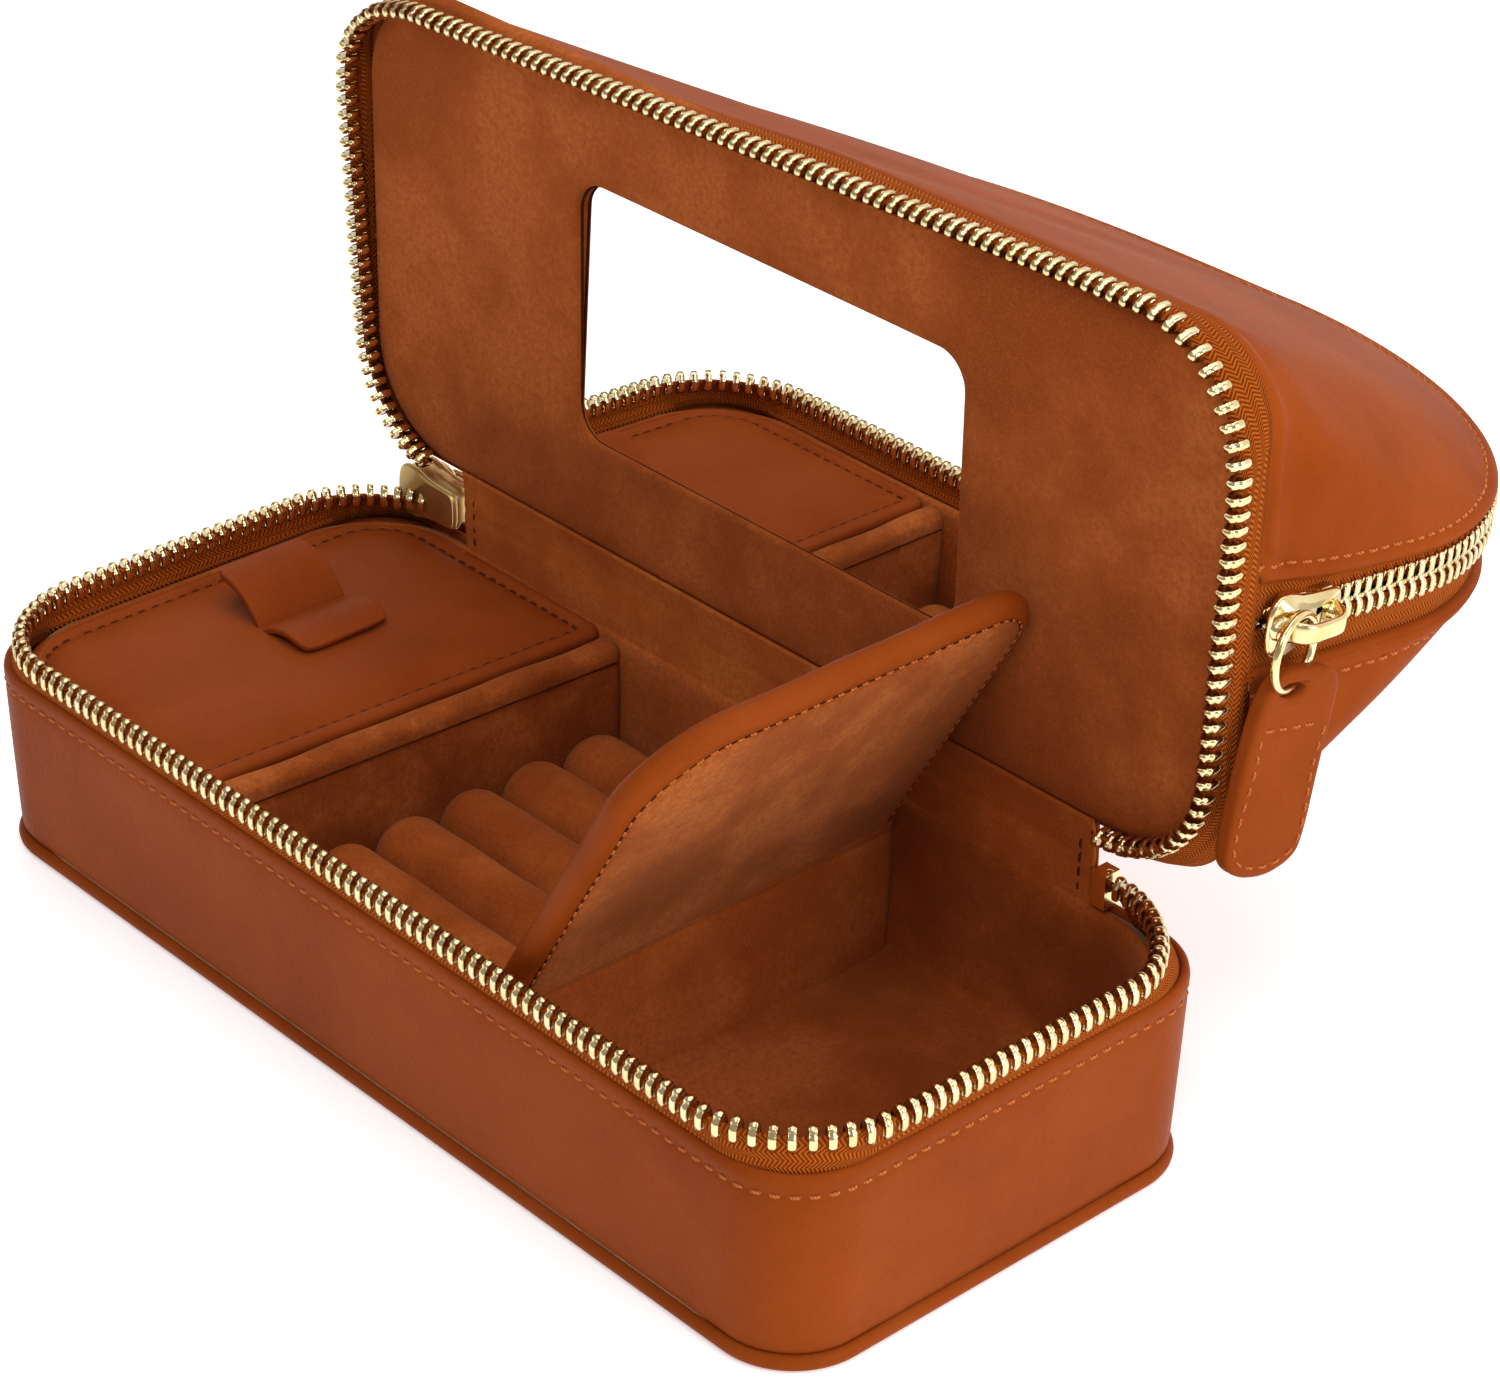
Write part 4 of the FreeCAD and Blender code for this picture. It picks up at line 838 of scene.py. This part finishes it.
# mirror with a ground edge
mv, mf = [], []
for sc, z in ((1.0, 49.32), (0.985, 49.26)):
    mv.append(np.column_stack([win * (1.015 * sc), z - 0.024 * win[:, 1]]))
mv = np.vstack(mv)
mf = grid_faces(2, n, wrap_v=True)
mf.append(tuple(n + i for i in range(n)))
add("mirror_pane", opened(mv), mf, MIRROR, "lid", gone=["mirror"], smooth=False, slot="mirror")
q = np.column_stack([win * 0.998, np.full(n, 48.9)])
add("mirror_edge_shadow", *tube(opened(q), 0.3, 6, closed=True), SEAM_SHADOW, "lid")

# ------------------------------------------------------------------ hinge strip
nx, nz = 120, 26
x = np.linspace(-79.0, 78.0, nx)
t = np.linspace(0, 1, nz)
V = np.zeros((nx, nz, 3))
zz = 33.0 + t * 18.4
yy = 43.35 - 0.25 * np.sin(t * math.pi) - 0.9 * np.clip((t - 0.72) / 0.28, 0, 1) ** 1.5
V[:, :, 0] = x[:, None]
V[:, :, 1] = yy[None, :] + 0.22 * np.sin(x[:, None] * 0.06 + t[None, :] * 5) * np.sin(t[None, :] * math.pi) + 0.25 * np.exp(-((zz[None, :] - 43.4) / 0.8) ** 2) * (0.6 + 0.4 * np.sin(x[:, None] * 0.05))
V[:, :, 2] = zz[None, :]
strip = add("hinge_strip_suede", V.reshape(-1, 3), grid_faces(nx, nz), SUEDE_STRIP, None, gone=["hinge_strip_inner"], slot="suede", solid=0.7)
V2 = V.copy()
V2[:, :, 1] = 44.5 + 0.35 * np.sin(t * math.pi)[None, :] + 0.1 * np.sin(x[:, None] * 0.05)
V2[:, :, 2] = zz[None, :]
strip2 = add("hinge_strip_leather", V2.reshape(-1, 3), grid_faces(nx, nz, flip=True), LEATHER, None, gone=["hinge_strip_outer"], slot="leather", solid=0.7)
ends = []
for xs in (-76.4, 75.4):
    zl = np.linspace(36.5, 48.5, 40)
    pts = np.column_stack([np.full(40, xs), np.interp(zl, zz, yy) - 0.05, zl])
    ends.append(stitches(pts, np.tile([0, -1.0, 0], (40, 1)), 1.9, 2.6, 0.22, 0.05))
strip_st = add("hinge_strip_stitching", *join(ends), THREAD_DARK, None)

# ------------------------------------------------------------------ bag
ARCH_X, ARCH_NEAR, ARCH_FAR, ARCH_LOW, ARCH_TOP = 105.8, 20.0, 9.2, 37.6, 106.9


def arch_line(n_side=30, n_turn=60, n_top=50, off=0.0):
    """The zip's arch from the near end over the top to the far end: (x, h) and outward normals."""
    def side(flat, power):
        A_, B_ = ARCH_X - flat - off, ARCH_TOP - ARCH_LOW - off
        return [(ARCH_X - off, h) for h in np.linspace(-0.6, ARCH_LOW, n_side, endpoint=False)] + \
            [(flat + A_ * math.cos(t) ** (2 / power), ARCH_LOW + B_ * math.sin(t) ** (2 / power))
             for t in np.linspace(0.02, math.pi / 2, n_turn, endpoint=False)]
    right = side(ARCH_NEAR, 1.93)
    top = [(x_, ARCH_TOP - off) for x_ in np.linspace(ARCH_NEAR, ARCH_FAR, n_top)]
    left = [(-x_, h_) for x_, h_ in reversed(side(-ARCH_FAR, 2.6))]
    p = np.array(right + top + left)
    tan = np.gradient(p, axis=0)
    tan /= np.linalg.norm(tan, axis=1)[:, None]
    return p, np.column_stack([tan[:, 1], -tan[:, 0]])


def even_arch(step, off=0.0):
    p, nn_ = arch_line(off=off)
    d = np.concatenate([[0], np.cumsum(np.hypot(*np.diff(p, axis=0).T))])
    t = np.arange(0, d[-1], step)
    return np.column_stack([np.interp(t, d, p[:, 0]), np.interp(t, d, p[:, 1])]), \
        np.column_stack([np.interp(t, d, nn_[:, 0]), np.interp(t, d, nn_[:, 1])]), t


def half_rim(sign, n_side=30, n_turn=60, n_top=50):
    """Half of the lid's rim, point for point beside arch_line: closed-lid x and y."""
    X_, W_, R_ = 105.0, 46.3, 14.4
    y0 = -1.0 + sign * 8.6
    pts = [(X_, y) for y in np.linspace(y0, sign * (W_ - R_), n_side, endpoint=False)]
    pts += [(X_ - R_ + R_ * math.cos(t), sign * (W_ - R_ + R_ * math.sin(t))) for t in np.linspace(0, math.pi / 2, n_turn, endpoint=False)]
    right = pts
    top = [(x_, sign * W_) for x_ in np.linspace(X_ - R_, -(X_ - R_), n_top)]
    left = [(-x_, y_) for x_, y_ in reversed(right)]
    return settle(right + top + left)


def gap_at(h, sign):
    """Distance of the leather's edge from the chain."""
    if sign < 0:
        return 4.2 + 3.8 * np.exp(-np.maximum(h, 0) / 18.0)
    return 9.8 - 1.2 * np.exp(-np.maximum(h, 0) / 18.0)


def bag_side(sign, name, gone):
    A2 = half_rim(sign)
    arch, out2 = arch_line()
    n_ = len(A2)
    A3 = opened(np.column_stack([A2, np.full(n_, ZH)]))
    gap = gap_at(arch[:, 1], sign)
    B3 = soft_at(arch[:, 0], sign * gap, arch[:, 1])
    O3 = soft_at(arch[:, 0] + out2[:, 0], sign * gap, arch[:, 1] + out2[:, 1]) - B3
    rows = np.concatenate([np.linspace(0, 0.12, 9), np.linspace(0.16, 0.9, 24), np.linspace(0.92, 1.0, 9)])
    straight = A3[:, None, :] + (B3 - A3)[:, None, :] * rows[None, :, None]
    du = np.gradient(straight, axis=0)
    dv = np.gradient(straight, axis=1)
    nrm = np.cross(du, dv)
    nrm /= np.linalg.norm(nrm, axis=2)[:, :, None] + 1e-9
    ref = A3 - np.array([0, 60.0, 95.0])
    if (nrm[n_ // 2, 20] * ref[n_ // 2]).sum() < 0:
        nrm = -nrm
    dist = np.linalg.norm(B3 - A3, axis=1)[:, None] * rows[None, :]
    left_ = np.linalg.norm(B3 - A3, axis=1)[:, None] - dist
    u_ = np.linspace(0, 1, n_)[:, None]
    full_ = np.clip(dist[:, -1:] / 14.0, 0, 1) ** 2
    roll = 0.95 * np.exp(-((dist - 2.8) / 2.2) ** 2) - 0.9 * np.exp(-((dist - 8.5) / 4.2) ** 2)
    puff = (0.2 if sign < 0 else 1.4) * np.sin(np.pi * np.clip(rows, 0, 1))[None, :] ** 1.2 * (dist[:, -1:] / 105.0)
    folds = 0.35 * np.sin(u_ * 42 + rows[None, :] * 4) * np.sin(np.pi * rows)[None, :] + \
        0.5 * np.sin(u_ * 17 + 1 + sign) * np.sin(np.pi * rows * 1.6 + 0.4)[None, :] * np.sin(np.pi * rows)[None, :]
    seam = -0.38 * np.exp(-((left_ - 4.4) / 0.55) ** 2)
    lip = 0.35 * np.exp(-((left_ - 1.6) / 1.6) ** 2)
    start = np.clip(dist / 1.2, 0, 1)
    S = straight + nrm * (((roll + puff + folds) * start + seam + lip) * full_)[:, :, None]
    # the edge is turned in towards the zip
    rim_rows = []
    for k_, (into, down) in enumerate(((0.25, 0.25), (0.8, 0.5), (1.5, 0.9), (2.0, 1.8), (2.0, 3.2))):
        vdir = soft_at(arch[:, 0], sign * (gap - into), arch[:, 1]) - B3
        rim_rows.append(S[:, -1, :] + vdir * 0.55 - O3 * down * 0.8)
    # and at the lid it goes over the rim to the board
    first = []
    for in_, dy in ((1.6, -0.15), (0.5, -0.35)):
        c2 = A2 * (1 - in_ / np.maximum(np.hypot(A2[:, 0], A2[:, 1]), 1))[:, None]
        first.append(opened(np.column_stack([c2, np.full(n_, ZH + dy)])))
    G_ = np.concatenate([np.stack(first, 1), S, np.stack(rim_rows, 1)], axis=1)
    F_ = grid_faces(n_, G_.shape[1], flip=(sign < 0))
    o = add(name, G_.reshape(-1, 3), F_, LEATHER_BAG, "lid", gone=[gone], slot="leather")
    # stitches along the seam near the edge
    tt = np.stack([np.interp(4.4, left_[i][::-1], np.arange(len(rows))[::-1]) for i in range(n_)])
    pts, nms = [], []
    for i in range(n_):
        j = int(tt[i])
        f_ = tt[i] - j
        pts.append(S[i, j] * (1 - f_) + S[i, min(j + 1, len(rows) - 1)] * f_)
        nms.append(nrm[i, j])
    add(name + "_stitching", *stitches(np.array(pts), np.array(nms), 2.2, 3.0, 0.3, 0.12), THREAD, "lid")
    return o


front_obj = bag_side(-1, "bag_front_leather", "bag_front_panel")
back_obj = bag_side(1, "bag_back_leather", "bag_back_panel")
for o in (front_obj, back_obj):
    s_ = o.modifiers.new("thick", "SOLIDIFY")
    s_.thickness, s_.offset = 0.9 * MM, -1.0

for sign, tag in ((-1, "front"), (1, "back")):
    p, nn_, t_ = even_arch(1.2, off=1.3)
    cols = []
    across = np.linspace(0.9, 1.0, 2)
    rows = [(0.95, 0.38), (2.0, 0.36), (4.0, 0.3), (6.2, 0.1), (10.6, -0.4), (10.6, -0.9), (6.2, -0.4), (4.0, -0.3), (2.0, -0.36), (0.95, -0.38)]
    V, uv = [], []
    for c_, o_ in rows:
        cc = np.minimum(c_, gap_at(p[:, 1], sign) + 0.6)
        V.append(soft_at(p[:, 0] + nn_[:, 0] * o_, sign * cc, p[:, 1] + nn_[:, 1] * o_))
        uv.append(np.column_stack([t_, np.full(len(t_), c_)]))
    V, uv = np.stack(V, 1), np.stack(uv, 1)
    k = len(rows)
    F = grid_faces(len(p), k, wrap_v=True, flip=(sign > 0))
    add("bag_tape_" + tag + "_woven", V.reshape(-1, 3), F, TAPE, "lid", uv=uv.reshape(-1, 2), gone=["bag_tape_" + tag], slot="tape")
    p, nn_, t_ = even_arch(PITCH, off=1.1)
    if sign > 0:
        p2, n2, _ = even_arch(PITCH / 2, off=1.1)
        p, nn_ = p2[1::2], n2[1::2]
    ok = p[:, 1] > 1.0
    p, nn_ = p[ok], nn_[ok]
    pts = soft_at(p[:, 0], sign * 1.25, p[:, 1])
    acr = soft_at(p[:, 0] + nn_[:, 0], sign * 1.25, p[:, 1] + nn_[:, 1]) - pts
    ups = soft_at(p[:, 0], sign * 0.25, p[:, 1]) - pts
    V, F = teeth(pts, acr, ups, 0.02)
    add("bag_teeth_" + tag + "_brass", V, F, BRASS, "lid", gone=["bag_teeth_" + tag], slot="brass")

# ------------------------------------------------------------------ sliders, rings, pulls
XO = 106.3     # inner face of the slider's outer plate, in slider coordinates


def extrude_outline(pts, x0, x1, crown=0.0):
    """A flat outline in (across, along) given thickness in x, with eased edges."""
    pts = np.asarray(pts, float)
    mid_ = pts.mean(0)
    n_ = len(pts)
    rows = []
    e = min(0.35, (x1 - x0) * 0.3)
    for x_, k_ in ((x0, 0.0), (x0, e * 0.0), (x0 + e * 0.3, -e * 0.3), (x0 + e, -e), (x1 - e, -e), (x1 - e * 0.3, -e * 0.3), (x1, 0.0)):
        d_ = pts - mid_
        l_ = np.linalg.norm(d_, axis=1)[:, None]
        shrink = e + k_
        q_ = mid_ + d_ * (1 - shrink / np.maximum(l_, 1e-6))
        rows.append(np.column_stack([np.full(n_, x_), q_]))
    inner = mid_ + (pts - mid_) * 0.45
    rows.append(np.column_stack([np.full(n_, x1 + crown), inner]))
    F_ = grid_faces(len(rows), n_, wrap_v=True)
    F_ += [tuple(range(n_ - 1, -1, -1)), tuple((len(rows) - 1) * n_ + i for i in range(n_))]
    return np.vstack(rows), F_


def shield(nose, tail, h0, h1, n_=72):
    """The slider plate's outline: a broad rounded nose drawn in to a narrower tail."""
    key = np.array([(0, h0), (nose * 0.30, h0 + 0.25), (nose * 0.46, h0 + 1.5), (nose * 0.5, h0 + 3.2), (nose * 0.47, h0 + 5.4), (tail * 0.54, h0 + 8.2),
                    (tail * 0.5, h1 - 3.0), (tail * 0.48, h1 - 1.0), (tail * 0.38, h1 - 0.2), (0, h1)])
    full = np.vstack([key, (key * [-1, 1])[::-1][1:-1]])
    closed = np.vstack([full, full[:1]])
    for _ in range(2):
        q_ = closed[:-1] * 0.75 + closed[1:] * 0.25
        r_ = closed[:-1] * 0.25 + closed[1:] * 0.75
        nx_ = np.empty((2 * len(q_), 2))
        nx_[0::2], nx_[1::2] = q_, r_
        closed = np.vstack([nx_, nx_[:1]])
    return closed[:-1][::-1]


def slider_set(tag, place, body_slider, body_ring, body_pull, gone, flip, pull_tilt):
    """Slider with bail, ring and stitched leather pull, in slider coordinates (out, across, along)."""
    def put(V_):
        V_ = np.asarray(V_, float)
        return place(V_[:, 0], V_[:, 1], V_[:, 2])
    h0, h1 = 0.6, 17.0
    parts = [extrude_outline(shield(10.4, 7.2, h0, h1), XO, XO + 1.25, 0.25),
             extrude_outline(shield(10.4, 7.2, h0, h1), 101.45, 102.7)]
    for sg in (-1, 1):
        ed = [(sg * 3.05, h0 + 3.4), (sg * 4.5, h0 + 3.6), (sg * 4.1, h0 + 8.2), (sg * 3.6, h0 + 10.5), (sg * 3.6, h1 - 1.2), (sg * 3.0, h1 - 1.2)]
        if sg > 0:
            ed = ed[::-1]
        parts.append(extrude_outline(ed, 104.85, XO + 0.1))
    post = [(-0.3, h0 + 0.8), (0.3, h0 + 0.8), (0.3, h0 + 4.4), (-0.3, h0 + 4.4)]
    parts.append(extrude_outline(post[::-1], 102.6, XO + 0.1))
    if tag == "main":
        parts.append(extrude_outline(shield(9.7, 6.5, h0 + 0.4, h1 - 0.4), 102.5, XO + 0.1))
    V_, F_ = join(parts)
    add("slider_" + tag, put(V_), F_, BRASS_SATIN if tag == "main" else BRASS, body_slider, gone=[gone[0]], slot="brass")
    # bail: a rounded bar arched over the plate
    t = np.linspace(0, 1, 40)
    hh = h0 + 2.6 + t * 12.0
    base_ = XO + 1.0
    rise = 4.3 * np.clip(1 - np.abs(2 * t - 1) ** 5.0, 0, 1)
    pts = np.column_stack([base_ + rise, np.zeros(40), hh])
    ns = 12
    rows = []
    tan = np.gradient(pts, axis=0)
    tan /= np.linalg.norm(tan, axis=1)[:, None]
    for i in range(40):
        b_ = np.array([0, 1.0, 0])
        c_ = np.cross(tan[i], b_)
        wide = 1.5 + 0.5 * abs(2 * t[i] - 1) ** 3
        aa = np.linspace(0, 2 * math.pi, ns, endpoint=False)
        ca, sa = np.cos(aa), np.sin(aa)
        sq = lambda q_: np.sign(q_) * np.abs(q_) ** 0.6
        rows.append(pts[i] + sq(ca)[:, None] * b_ * wide + sq(sa)[:, None] * c_ * 0.62)
    F_ = grid_faces(40, ns, wrap_v=True) + [tuple(range(ns - 1, -1, -1)), tuple(range(39 * ns, 40 * ns))]
    nose = []
    for hn, rr_ in ((h0 + 2.0, 1.5), (h1 - 2.2, 1.25)):
        aa = np.linspace(0, 2 * math.pi, 20, endpoint=False)
        lev = [(XO + 1.1, rr_ * 1.25), (XO + 1.9, rr_ * 1.15), (XO + 2.5, rr_ * 0.8), (XO + 2.75, rr_ * 0.35)]
        vv = np.vstack([np.column_stack([np.full(20, x_), r_ * np.cos(aa), hn + r_ * np.sin(aa)]) for x_, r_ in lev])
        ff = grid_faces(4, 20, wrap_v=True) + [tuple(60 + i for i in range(20)), tuple(range(19, -1, -1))]
        nose.append((vv, ff))
    V_, F_ = join([(np.vstack(rows), F_)] + nose)
    add("bail_" + tag, put(V_), F_, BRASS, body_slider, gone=[gone[1]], slot="brass")
    # ring
    RX, drop, at, rad = 109.05, 3.6 * flip, 4.9, 6.0
    yaw = math.radians(13.0)
    aa = np.linspace(0, 2 * math.pi, 72, endpoint=False)
    loop = np.column_stack([RX + 0.35 - rad * np.sin(aa) * math.sin(yaw), drop - rad * np.cos(aa) * flip * -1.0, at + rad * np.sin(aa) * math.cos(yaw)])
    V_, F_ = tube(loop, 0.72, 12, closed=True)
    add("ring_" + tag, put(V_), F_, BRASS, body_ring, gone=[gone[2]], slot="brass")
    # pull: two leathers sewn together, with a slot for the ring near one top corner
    hole = np.array([drop + flip * 5.75, at - 0.6])
    tilt_ = math.radians(pull_tilt)

    def pull_xy(u_, w_):
        """u down the pull from the ring's bottom, w across it."""
        u_, w_ = np.asarray(u_, float), np.asarray(w_, float)
        return hole[0] + flip * (u_ * math.cos(tilt_) - w_ * math.sin(tilt_) * -1.0), hole[1] - u_ * math.sin(tilt_) + w_ * math.cos(tilt_)
    out = [(-2.9, -2.4), (-3.3, -0.5), (-3.3, 4.6), (-2.7, 7.6), (-1.2, 9.3), (2.5, 9.4), (14.0, 9.0), (27.0, 8.4), (29.6, 7.0), (31.4, 3.6), (31.7, 0.5), (31.2, -3.0),
           (29.6, -5.4), (27.0, -6.6), (14.0, -6.4), (3.0, -5.4), (-1.0, -4.0)]
    closed = np.array(out + out[:1], float)
    for _ in range(3):
        q_ = closed[:-1] * 0.75 + closed[1:] * 0.25
        r_ = closed[:-1] * 0.25 + closed[1:] * 0.75
        nx_ = np.empty((2 * len(q_), 2))
        nx_[0::2], nx_[1::2] = q_, r_
        closed = np.vstack([nx_, nx_[:1]])
    edge_ = closed[:-1]
    n_ = len(edge_)
    # the slot's outline, point for point with the edge
    ang = np.arctan2(edge_[:, 1] - 0.2, edge_[:, 0] - 0.0)
    slot_ = np.column_stack([1.25 * np.cos(ang), 0.2 + 2.5 * np.sin(ang)])
    mid_ = edge_.mean(0)
    ins = lambda d_: edge_ + (mid_ - edge_) / np.maximum(np.linalg.norm(mid_ - edge_, axis=1), 1e-6)[:, None] * d_
    T_ = 1.45
    yaw_t = math.radians(-9.0)

    def layer(q_, x_):
        a_, b_ = pull_xy(q_[:, 0], q_[:, 1])
        return np.column_stack([RX + 0.2 + np.broadcast_to(x_, (len(q_),)) + (b_ - hole[1]) * math.tan(yaw_t) * -1.0, a_, b_])
    rings_ = [(slot_, 0.7 * T_), (slot_ * 1.12, 0.95 * T_), (slot_ * 1.3 + (edge_ - slot_) * 0.05, T_)]
    for t_ in (0.3, 0.55, 0.8):
        rings_.append((slot_ + (ins(1.2) - slot_) * t_, T_ * 1.02))
    rings_ += [(ins(1.2), T_), (ins(0.45), T_ * 0.92), (ins(0.1), T_ * 0.7), (ins(0.0), T_ * 0.35), (ins(0.08), 0.0)]
    down = [(q_, -x_) for q_, x_ in reversed(rings_[:-1])]
    G_ = np.stack([layer(q_, x_) for q_, x_ in rings_ + down], 0)
    F_ = grid_faces(G_.shape[0], n_, wrap_v=True, wrap_u=True, flip=(flip < 0))
    add("pull_" + tag, put(G_.reshape(-1, 3)), F_, LEATHER, body_pull, gone=[gone[3]], slot="leather")
    sew = []
    q_ = ins(1.9)
    q_ = np.vstack([q_, q_[:1]])
    keep_ = q_[(q_[:, 0] > 6.0)]
    order = np.argsort(np.arctan2(keep_[:, 1] - 1.0, -(keep_[:, 0] - 6.0)) % (2 * math.pi))
    keep_ = keep_[order]
    for sx in (1, -1):
        pts_ = put(layer(keep_, sx * T_))
        up_ = put(layer(keep_, sx * (T_ + 1))) - pts_
        sew.append(stitches(pts_, up_, 1.9, 2.6, 0.24, 0.1))
        w_ = np.linspace(-4.2, 7.2, 30)
        cross = np.column_stack([np.full(30, 6.2), w_])
        pts_ = put(layer(cross, sx * T_))
        up_ = put(layer(cross, sx * (T_ + 1))) - pts_
        sew.append(stitches(pts_, up_, 1.9, 2.6, 0.24, 0.1))
    add("pull_stitching_" + tag, *join(sew), THREAD, body_pull)


slider_set("bag", bag_at, "bag_slider", "bag_ring", "bag_pull", ("bag_slider", "bag_bail", "bag_ring", "bag_pull"), 1.0, 3.0)


def main_at(x_, v_, h_):
    x_, v_, h_ = np.broadcast_arrays(np.asarray(x_, float), np.asarray(v_, float), np.asarray(h_, float))
    return np.stack([-97.8 + h_, 44.9 - 104.5 + x_, 42.0 + v_], -1)


slider_set("main", main_at, "tray", "main_ring", "main_pull", ("main_slider", "main_bail", "main_ring", "main_pull"), -1.0, 0.0)
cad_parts["zip_end_stop"].data.materials.clear()
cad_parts["zip_end_stop"].data.materials.append(BRASS)

# parts of the strip, which bends between tray and lid on the real case: their transforms are baked into their meshes
# and they stay on no body
for o in (strip, strip2, strip_st):
    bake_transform(o)

# ------------------------------------------------------------------ floor, light, camera
def stage_mesh():
    me = bpy.data.meshes.new("floor")
    s_ = 6.0
    n_ = 40
    prof = [(-s_, 0.0)] + [(1.6 + 0.9 * math.sin(t), 0.9 - 0.9 * math.cos(t)) for t in np.linspace(0, math.pi / 2, 20)] + [(2.5, 4.0)]
    V_, F_ = [], []
    for y_, z_ in prof:
        V_ += [(-s_, y_, z_ - 0.0002), (s_, y_, z_ - 0.0002)]
    for i in range(len(prof) - 1):
        F_.append((2 * i, 2 * i + 1, 2 * i + 3, 2 * i + 2))
    me.from_pydata(V_, [], F_)
    me.polygons.foreach_set("use_smooth", [True] * len(me.polygons))
    o_ = bpy.data.objects.new("floor", me)
    bpy.context.scene.collection.objects.link(o_)
    fm = Mat("floor_white")
    fm.link(fm.ramp(fm.noise(2.0), [(0.0, (0.93, 0.93, 0.93, 1)), (1.0, (0.95, 0.95, 0.95, 1))]), fm.b.inputs["Base Color"])
    fm.b.inputs["Roughness"].default_value = 0.8
    fm.b.inputs["Emission Color"].default_value = (1, 1, 1, 1)
    fm.b.inputs["Emission Strength"].default_value = 0.42
    me.materials.append(fm.m)


stage_mesh()
bpy.context.scene.view_settings.view_transform = "Standard"
world = bpy.context.scene.world or bpy.data.worlds.new("World")
bpy.context.scene.world = world
world.use_nodes = True
world.node_tree.nodes["Background"].inputs[0].default_value = (1.0, 1.0, 1.0, 1)
world.node_tree.nodes["Background"].inputs[1].default_value = 0.33


def area(name, loc, target, size, power, size_y=None):
    l = bpy.data.lights.new(name, "AREA")
    l.shape = "RECTANGLE"
    l.size, l.size_y = size, size_y or size
    l.energy = power
    o_ = bpy.data.objects.new(name, l)
    bpy.context.scene.collection.objects.link(o_)
    o_.location = loc
    from mathutils import Vector
    o_.rotation_euler = (Vector(target) - Vector(loc)).to_track_quat("-Z", "Y").to_euler()


area("key_right", (1.45, 0.25, 0.75), (0.0, 0.03, 0.06), 0.9, 12.6)
area("top_soft", (-0.1, 0.2, 1.6), (0.0, 0.03, 0.0), 1.6, 13.0)
area("inside_fill", (0.55, -0.75, 1.25), (0.03, 0.02, 0.04), 0.5, 5.0)

az, el, roll = math.radians(46.95), math.radians(29.95), math.radians(1.22)
back = np.array([math.sin(az) * math.cos(el), -math.cos(az) * math.cos(el), math.sin(el)])
right = np.array([math.cos(az), math.sin(az), 0.0])
up = np.cross(back, right)
r2 = math.cos(roll) * right + math.sin(roll) * up
u2 = -math.sin(roll) * right + math.cos(roll) * up
from mathutils import Matrix
M = Matrix(((r2[0], u2[0], back[0], 0.44983), (r2[1], u2[1], back[1], -0.37639), (r2[2], u2[2], back[2], 0.39778), (0, 0, 0, 1)))
cam = bpy.data.cameras.new("camera")
cam.sensor_fit = "HORIZONTAL"
cam.sensor_width = 36.0
cam.lens = 36.0 * 4182.84 / 1500.0
cam.shift_x = -11.56 / 1500.0
cam.shift_y = -19.36 / 1500.0
cam.clip_start, cam.clip_end = 0.01, 50.0
co = bpy.data.objects.new("camera", cam)
bpy.context.scene.collection.objects.link(co)
co.matrix_world = M
bpy.context.scene.camera = co
